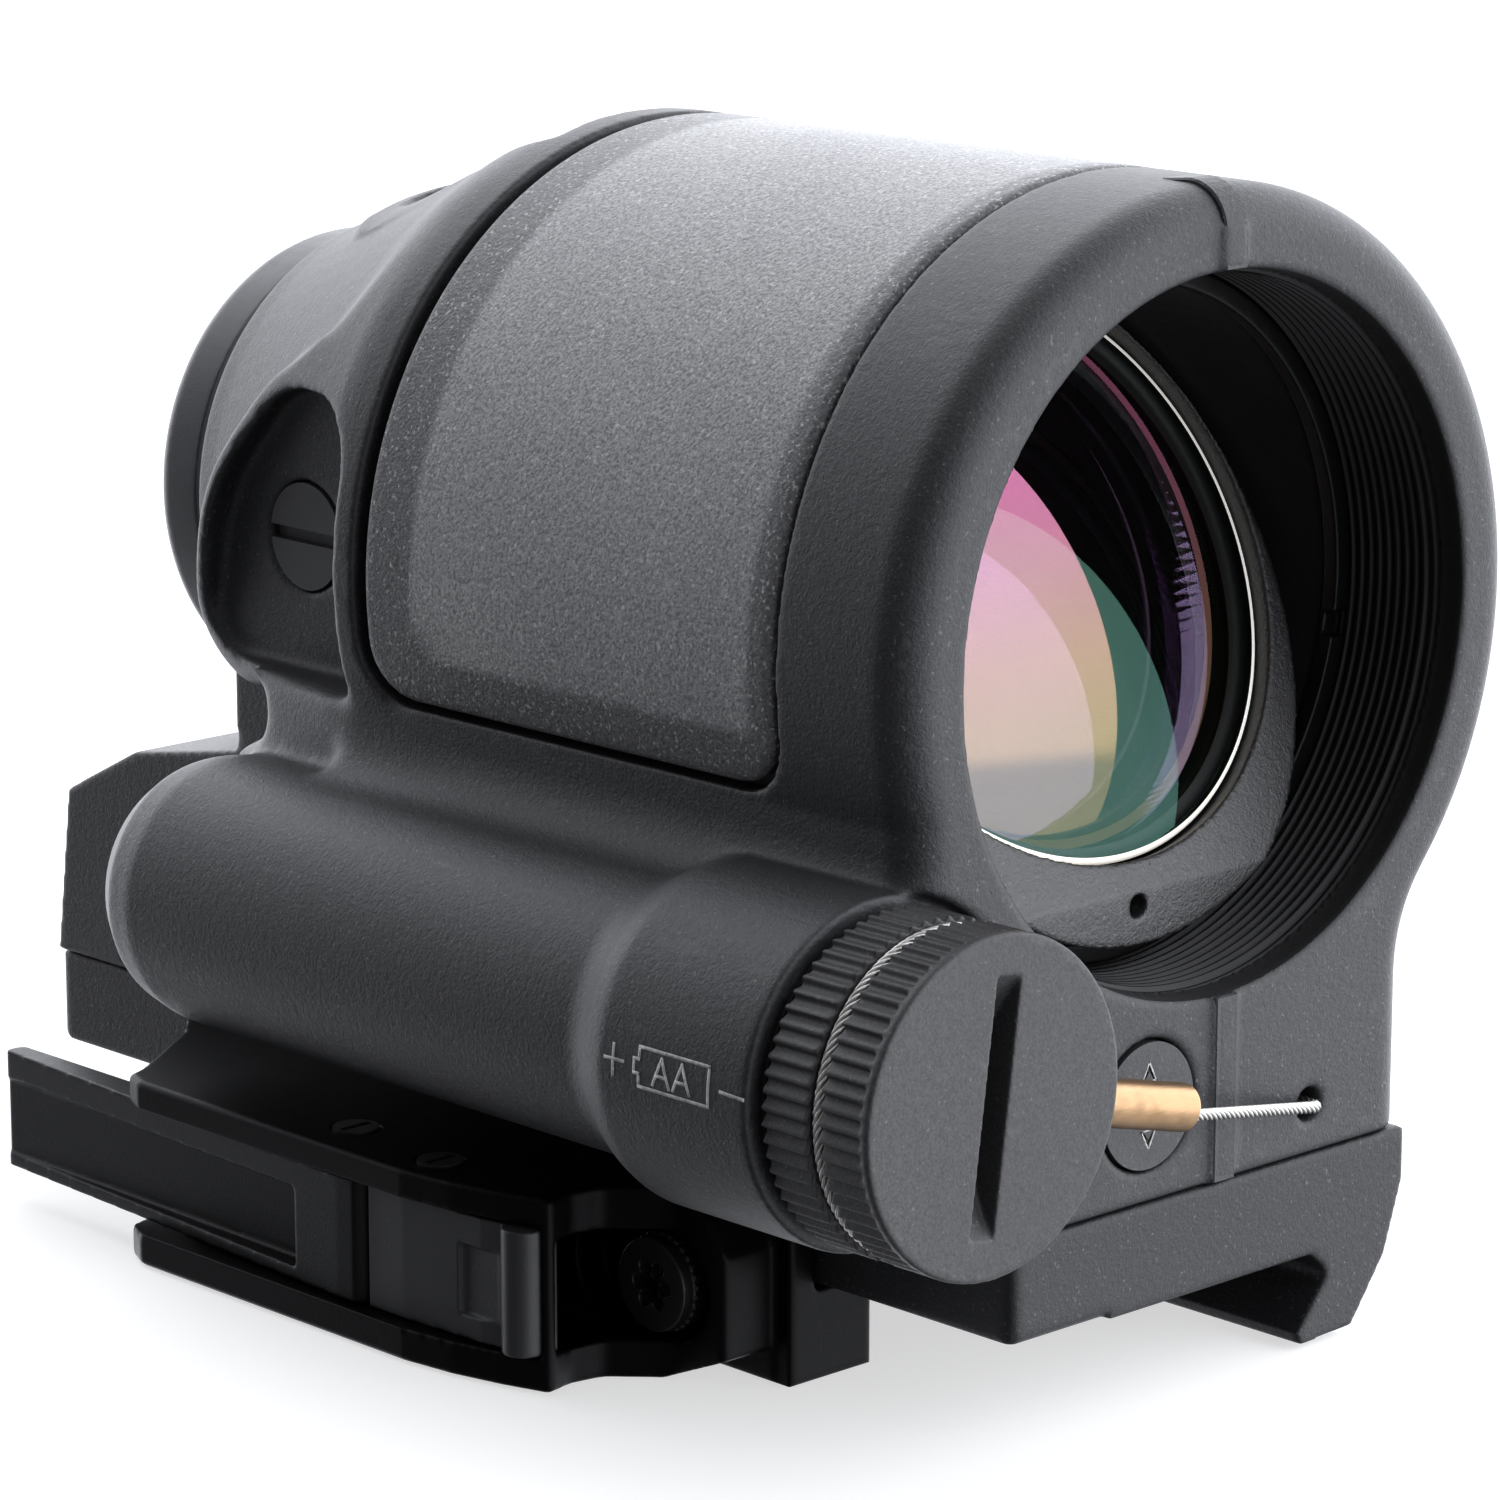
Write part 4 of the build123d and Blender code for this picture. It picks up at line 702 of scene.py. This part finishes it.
rows = [(2.0 - sag(FRONT_CURVE, r), r, 0) for r in np.linspace(0.01, LENS_R - 0.4, RINGS)]
rows += [(-1.0, LENS_R - 0.16, 1), (-1.3, LENS_R, 1), (-2.15, LENS_R, 3), (-2.2, 17.8, 3)]
rows += [(-0.2 - sag(CEMENT_CURVE, r), r, 2) for r in np.linspace(17.7, 0.01, RINGS)]
linked("lens_front_glass", about(rows, LENS_AT, LENS_OUT), "sight",
       [front_coat, edge_glass_painted_glow, mirror_coat, edge_black], ["lens_front"])
rows = [(-0.24 - sag(CEMENT_CURVE, r), r, 0) for r in np.linspace(0.01, LENS_R - 0.3, RINGS)]
rows += [(-2.9, LENS_R, 1), (-3.9, LENS_R, 1), (-4.1, LENS_R - 0.2, 1), (-4.1, 17.7, 1)]
rows += [(-4.1 - sag(REAR_CURVE, r), r, 2) for r in np.linspace(17.6, 0.01, RINGS)]
linked("lens_rear_glass", about(rows, LENS_AT, LENS_OUT), "sight", [inner_coat, edge_black, rear_coat],
       ["lens_rear"])
rows = [(0.0, 0.01, 0), (0.0, 14.85, 0), (0.2, 15.05, 0), (1.8, 15.05, 0), (2.0, 14.85, 0), (2.0, 0.01, 0)]
rear_glass = coated("rear_window_coating", ((0.0, (0.03, 0.05, 0.07)), (1.0, (0.03, 0.045, 0.08))), 25, 58,
                    (0.94, 0.97, 0.95))
linked("rear_window_glass", about(rows, (0, depth(79.25), AXIS_Z), (0, 1, 0)), "sight", rear_glass,
       ["rear_window"])

# ---------------------------------------------------------------- solar window
WIN_FRONT, WIN_REAR, WIN_LOW = 11.2, 48.2, -7.25
WIN_R, WIN_T, WIN_EDGE, WIN_CORNER = 27.4, 1.4, 0.55, 3.7


def window_mesh():
    """Rounded panel wrapped over the barrel, thick, with its rim rolled over."""
    half = WIN_R * math.acos(WIN_LOW / WIN_R)
    near_edge = [0, 0.02, 0.08, 0.18, 0.32, 0.55, 0.9, 1.5, 2.4, 3.7]
    width = WIN_REAR - WIN_FRONT
    across = near_edge + list(np.linspace(5, width - 5, 30)) + [width - d for d in reversed(near_edge)]
    along = near_edge + list(np.linspace(5, 2 * half - 5, 110)) + [2 * half - d for d in reversed(near_edge)]
    verts, faces = [], []

    def reach_at(d):
        """How far the outline runs round the barrel at a distance from its front edge."""
        side = min(d, width - d)
        if side >= WIN_CORNER:
            return half
        return half - WIN_CORNER + math.sqrt(WIN_CORNER ** 2 - (WIN_CORNER - side) ** 2)

    for d in across:
        limit = reach_at(d)
        for a in along:
            arc = (a - half) * limit / half
            past_x = WIN_CORNER - min(d, width - d)
            past_a = WIN_CORNER - (half - abs(arc))
            if past_x > 0 and past_a > 0:
                gap = WIN_CORNER - math.hypot(past_x, past_a)
            else:
                gap = min(d, width - d, half - abs(arc))
            gap = min(max(gap, 0), WIN_EDGE)
            r = WIN_R - WIN_EDGE + math.sqrt(max(WIN_EDGE ** 2 - (WIN_EDGE - gap) ** 2, 0))
            swing = arc / WIN_R
            verts.append((r * MM * math.sin(swing), depth(WIN_FRONT + d), AXIS_Z + r * MM * math.cos(swing)))
    count = len(verts)
    inner = WIN_R - WIN_T
    for d in across:
        limit = reach_at(d)
        for a in along:
            swing = (a - half) * limit / half / WIN_R
            verts.append((inner * MM * math.sin(swing), depth(WIN_FRONT + d),
                          AXIS_Z + inner * MM * math.cos(swing)))
    n, m = len(across), len(along)
    for i in range(n - 1):
        for j in range(m - 1):
            a = i * m + j
            faces.append((a, a + 1, a + m + 1, a + m))
            faces.append((count + a, count + a + m, count + a + m + 1, count + a + 1))
    rim = [i * m for i in range(n)] + [(n - 1) * m + j for j in range(1, m)]
    rim += [i * m + m - 1 for i in range(n - 2, -1, -1)] + list(range(m - 2, 0, -1))
    for a, b in zip(rim, rim[1:] + rim[:1]):
        faces.append((a, b, count + b, count + a))
    mesh = bpy.data.meshes.new("window")
    mesh.from_pydata(verts, [], faces)
    return mesh


# pale field over the cell, as depths and a height above the axis
FIELD_FRONT, FIELD_REAR, FIELD_LOW, FIELD_SOFT = 13.1, 43.6, -3.9 * MM, 0.55 * MM


def window_paint():
    """Frosted smoke-grey panel: pale where the cell lies under it, dark round its border."""
    p = Paint("solar_window_coat")
    x, y, z = p.axes()
    rise = p.math("SUBTRACT", z, AXIS_Z)
    inner = p.span(y, depth(FIELD_FRONT) - FIELD_SOFT, depth(FIELD_FRONT) + FIELD_SOFT)
    inner = p.math("MULTIPLY", inner,
                   p.span(y, depth(FIELD_REAR) + FIELD_SOFT, depth(FIELD_REAR) - FIELD_SOFT))
    inner = p.math("MULTIPLY", inner, p.span(rise, FIELD_LOW - FIELD_SOFT, FIELD_LOW + FIELD_SOFT))
    corner = p.math("MULTIPLY", p.span(y, depth(40.4), depth(43.4)), p.span(rise, -0.9 * MM, -3.6 * MM))
    inner = p.math("MULTIPLY", inner, p.math("SUBTRACT", 1.0, corner, clamp=True))
    grit = p.noise(4300, 2, 0.7)
    clump = p.noise(1500, 2, 0.6)
    speck = p.span(p.noise(3300, 1, 0.5), 0.60, 0.72)
    cloud = p.noise(38, 2, 0.5)
    pale = p.ramp(cloud, (0.3, (0.30, 0.30, 0.305)), (0.7, (0.40, 0.398, 0.396)))
    shade = p.mix(inner, (0.14, 0.14, 0.144), pale)
    shade = p.mix(p.math("MULTIPLY", p.span(grit, 0.62, 0.3), 0.55), shade, (0.012, 0.012, 0.012))
    shade = p.mix(p.math("MULTIPLY", speck, 0.45), shade, (0.7, 0.7, 0.69))
    rough = p.math("ADD", p.math("MULTIPLY", clump, 0.2), 0.36)
    height = p.math("ADD", p.math("MULTIPLY", grit, 0.55), p.math("MULTIPLY", clump, 0.45))
    return p.finish(p.surface(Base_Color=shade, Roughness=rough, Specular_IOR_Level=0.35,
                              Normal=p.bump(height, 0.00014, 0.9)))


linked("frosted_window", window_mesh(), "sight", window_paint(), ["solar_window"])


# ---------------------------------------------------------------- lanyard
def lanyard_path():
    """Middle line of the wire, in metres: ferrule, loop in the cap's groove, out again and into its hole."""
    groove_r, wire_r, bend_r, strand, tail_r = 9.15, 0.4, 2.0, 0.43, 1.3
    loop_r = groove_r + wire_r + 0.06
    hole = Vector((8.72, 0, 41.0 - 31.06))
    tube = Vector((-28.27, 0, 19.08))
    along = (hole - tube).normalized()
    across = Vector((-along.z, 0, along.x))
    loop_y = -(4.45 + 3.4) / 2
    bend_out = math.sqrt((loop_r + bend_r) ** 2 - (strand + bend_r) ** 2)
    half = math.asin((strand + bend_r) / (loop_r + bend_r))

    def at(out, side):
        return tube + along * out + across * side + Vector((0, loop_y, 0))

    def bend(side, swings):
        return [at(bend_out - bend_r * math.cos(s), side * (strand + bend_r - bend_r * math.sin(s)))
                for s in swings]

    path = [at(19.5, strand), at(bend_out, strand)]
    path += bend(1, np.linspace(math.pi / 2, half, 12)[1:])
    around = np.linspace(half, 2 * math.pi - half, 90)[1:]
    path += [at(loop_r * math.cos(s), loop_r * math.sin(s)) for s in around]
    path += bend(-1, np.linspace(half, math.pi / 2, 12)[1:])
    tail = [at(22.7, -strand), Vector((hole.x + 0.12, -0.75, hole.z)), Vector((hole.x + 0.12, 8.65, hole.z))]
    before = path[-1]
    for i, corner in enumerate(tail[:2]):
        after = tail[i + 1]
        into, out = (corner - before).normalized(), (after - corner).normalized()
        turn = into.angle(out)
        back_off = tail_r * math.tan(turn / 2)
        start, end = corner - into * back_off, corner + out * back_off
        middle = start + (out - into * into.dot(out)).normalized() * tail_r
        for s in np.linspace(0, turn, 10):
            inward = (start - middle)
            path.append(middle + inward * math.cos(s) + into * tail_r * math.sin(s))
        before = end
    path.append(tail[2])
    return [Vector((p.x * MM, depth(p.y), p.z * MM)) for p in path]


def evenly(path, step):
    """Points along a polyline at an even spacing."""
    lengths = np.cumsum([0] + [(b - a).length for a, b in zip(path, path[1:])])
    spots = np.linspace(0, lengths[-1], int(lengths[-1] / step) + 1)
    flat = np.array([tuple(p) for p in path])
    return np.stack([np.interp(spots, lengths, flat[:, k]) for k in range(3)], 1), spots


def stranded(path, radius, lay, sides=8):
    """Six strands laid round a core along a path."""
    points, spots = evenly(path, 0.22 * MM)
    ways = np.gradient(points, axis=0)
    ways /= np.linalg.norm(ways, axis=1)[:, None]
    normal = np.cross(ways[0], (0, 1, 0))
    normal /= np.linalg.norm(normal)
    frames = []
    for way in ways:
        normal = normal - way * normal.dot(way)
        normal /= np.linalg.norm(normal)
        frames.append((normal, np.cross(way, normal)))
    strand_r = radius * 0.335
    off = radius - strand_r
    verts, faces = [], []
    for wire in range(7):
        base = len(verts)
        for point, spot, (u, v) in zip(points, spots, frames):
            swing = 2 * math.pi * (spot / lay + wire / 6)
            middle = point if wire == 6 else point + off * (u * math.cos(swing) + v * math.sin(swing))
            for k in range(sides):
                turn = 2 * math.pi * k / sides
                verts.append(tuple(middle + strand_r * (u * math.cos(turn) + v * math.sin(turn))))
        for i in range(len(points) - 1):
            for k in range(sides):
                a, b = base + i * sides + k, base + i * sides + (k + 1) % sides
                faces.append((a, b, b + sides, a + sides))
        last = base + (len(points) - 1) * sides
        faces.append(tuple(base + k for k in reversed(range(sides))))
        faces.append(tuple(last + k for k in range(sides)))
    mesh = bpy.data.meshes.new("strands")
    mesh.from_pydata(verts, [], faces)
    return mesh


linked("lanyard_strands", stranded(lanyard_path(), 0.4 * MM, 3.4 * MM), "lanyard", wire_steel,
       ["lanyard_wire"])


# ---------------------------------------------------------------- markings
def strokes(lines, place, width, proud=0.02, step=0.6):
    """Raised strokes: polylines in a surface's own two coordinates, put in space by place(u, v, height)."""
    verts, faces = [], []
    for line in lines:
        for (u0, v0), (u1, v1) in zip(line, line[1:]):
            length = math.hypot(u1 - u0, v1 - v0)
            du, dv = (u1 - u0) / length, (v1 - v0) / length
            pieces = max(1, math.ceil(length / step))
            first = len(verts)
            for i in range(pieces + 1):
                t = (i / pieces) * (length + width) - width / 2
                for side in (-0.5, 0.5):
                    u = u0 + du * t - dv * width * side
                    v = v0 + dv * t + du * width * side
                    verts.append(place(u, v, proud))
                    verts.append(place(u, v, -0.05))
            for i in range(pieces):
                a = first + 4 * i
                faces += [(a, a + 2, a + 6, a + 4), (a + 2, a + 3, a + 7, a + 6), (a + 1, a, a + 4, a + 5)]
            end = first + 4 * pieces
            faces += [(first, first + 1, first + 3, first + 2), (end, end + 2, end + 3, end + 1)]
    mesh = bpy.data.meshes.new("strokes")
    mesh.from_pydata(verts, [], faces)
    return mesh


TUBE_FRONT_R = 10.7
ROCKER_X, ROCKER_DOWN = -6.2, -28.1


def on_tube(deep, arc, height):
    """Point on the tube's thick front part, from depth and arc length above its widest line."""
    r = (TUBE_FRONT_R + height) * MM
    swing = math.pi - arc / TUBE_FRONT_R
    return (TUBE.x + r * math.cos(swing), depth(deep), TUBE.z + r * math.sin(swing))


def on_rocker(across, up, height):
    """Point on the rocker's face, from its middle."""
    return ((ROCKER_X + across) * MM, depth(-height), AXIS_Z + (ROCKER_DOWN + up) * MM)


def silver_ink():
    """Laser-etched legend, slightly uneven."""
    p = Paint("etched_legend")
    wear = p.noise(2600, 3, 0.6)
    shade = p.ramp(wear, (0.3, (0.22, 0.22, 0.21)), (0.65, (0.62, 0.61, 0.58)))
    return p.finish(p.surface(Base_Color=shade, Roughness=0.5, Normal=p.bump(wear, 0.00002, 0.5)))


etched = silver_ink()
legend = [[(11.33, 0.80), (12.88, 0.78)], [(12.2, 1.66), (12.2, -0.16)],
          [(10.0, 1.95), (4.12, 1.95), (4.12, -0.42), (10.0, -0.42), (10.0, 0.35), (10.4, 0.35), (10.4, 1.2),
           (10.0, 1.2), (10.0, 1.95)],
          [(1.25, 0.62), (3.1, 0.7)]]
for foot in (8.77, 7.06):        # the cell size, twice the same letter
    legend += [[(foot, -0.06), (foot - 0.68, 1.57), (foot - 1.36, -0.06)],
               [(foot - 0.27, 0.5), (foot - 1.09, 0.5)]]
linked("battery_legend", strokes(legend, on_tube, 0.2), "sight", etched)
arrows = [[(-0.62, side * 1.55), (0.0, side * 2.75), (0.62, side * 1.55), (-0.62, side * 1.55)]
          for side in (1, -1)]
linked("rocker_legend", strokes(arrows, on_rocker, 0.1, 0.015), "brightness", etched)


# ---------------------------------------------------------------- materials of the remaining pieces
def cell_paint():
    """Solar cell: blue-black wafer with silver fingers and bus bars."""
    p = Paint("solar_wafer")
    x, y, z = p.axes()
    finger = p.math("LESS_THAN", p.math("FRACT", p.math("MULTIPLY", y, 620.0)), 0.09)
    grain = p.cells(420)
    shade = p.mix(grain, (0.006, 0.008, 0.022), (0.012, 0.016, 0.05))
    shade = p.mix(finger, shade, (0.5, 0.5, 0.5))
    return p.finish(p.surface(Base_Color=shade, Roughness=0.3, Specular_IOR_Level=0.6,
                              Normal=p.bump(finger, 0.00002, 0.5)))


def board_paint():
    """Green solder mask with copper tracks beneath it."""
    p = Paint("solder_mask")
    track = p.span(p.math("ABSOLUTE", p.math("SUBTRACT", p.noise(160, 1, 0.3), 0.5)), 0.03, 0.015)
    shade = p.mix(track, (0.006, 0.05, 0.018), (0.02, 0.14, 0.05))
    return p.finish(p.surface(Base_Color=shade, Roughness=0.3, Normal=p.bump(track, 0.00003, 0.6)))


def can_paint():
    """Battery sleeve: dark body with a copper-coloured band at its positive end."""
    p = Paint("battery_sleeve")
    x, y, z = p.axes()
    band = p.span(y, depth(44.0), depth(44.2))
    scuff = p.noise(300, 3, 0.6)
    shade = p.mix(band, (0.012, 0.012, 0.013), (0.55, 0.27, 0.12))
    shade = p.mix(p.math("MULTIPLY", p.span(scuff, 0.6, 0.7), 0.15), shade, (0.4, 0.4, 0.4))
    return p.finish(p.surface(Base_Color=shade, Roughness=0.28, Metallic=p.math("MULTIPLY", band, 0.8),
                              Normal=p.bump(scuff, 0.00002, 0.3)))


def diode_paint():
    """Red plastic of the light source."""
    p = Paint("diode_lens")
    glow = p.noise(500, 2, 0.5)
    shade = p.mix(glow, (0.5, 0.02, 0.015), (0.75, 0.06, 0.04))
    return p.finish(p.surface(Base_Color=shade, Roughness=0.12, Transmission_Weight=0.3,
                              Coat_Weight=0.4))


NODE_PAINT = {
    "base_screw_1": black_steel, "base_screw_2": black_steel, "base_screw_3": black_steel,
    "base_screw_4": black_steel, "clamp_screw_1": black_steel, "clamp_screw_2": black_steel,
    "lever_pin": black_steel, "latch_pin": black_steel, "eyepiece_seal": rubber, "window_gasket": rubber,
    "windage_screw": adjuster_coat, "windage_seal": rubber, "elevation_screw": adjuster_coat,
    "elevation_seal": rubber, "rocker": rocker_rubber, "rocker_pin": steel, "rocker_seal": rubber,
    "switch_up": steel, "switch_down": steel, "cap_seal": rubber, "cap_spring": steel, "lanyard_stop": steel,
    "positive_contact": brass, "contact_cup": rubber, "board_spacer": rubber, "emitter_block": rubber,
    "solar_cell": cell_paint(), "control_board": board_paint(), "battery": can_paint(),
    "emitter": diode_paint(),
}
for name, node in frame["nodes"].items():
    if node.hide_render:
        continue
    node.data.materials.clear()
    node.data.materials.append(NODE_PAINT[name])
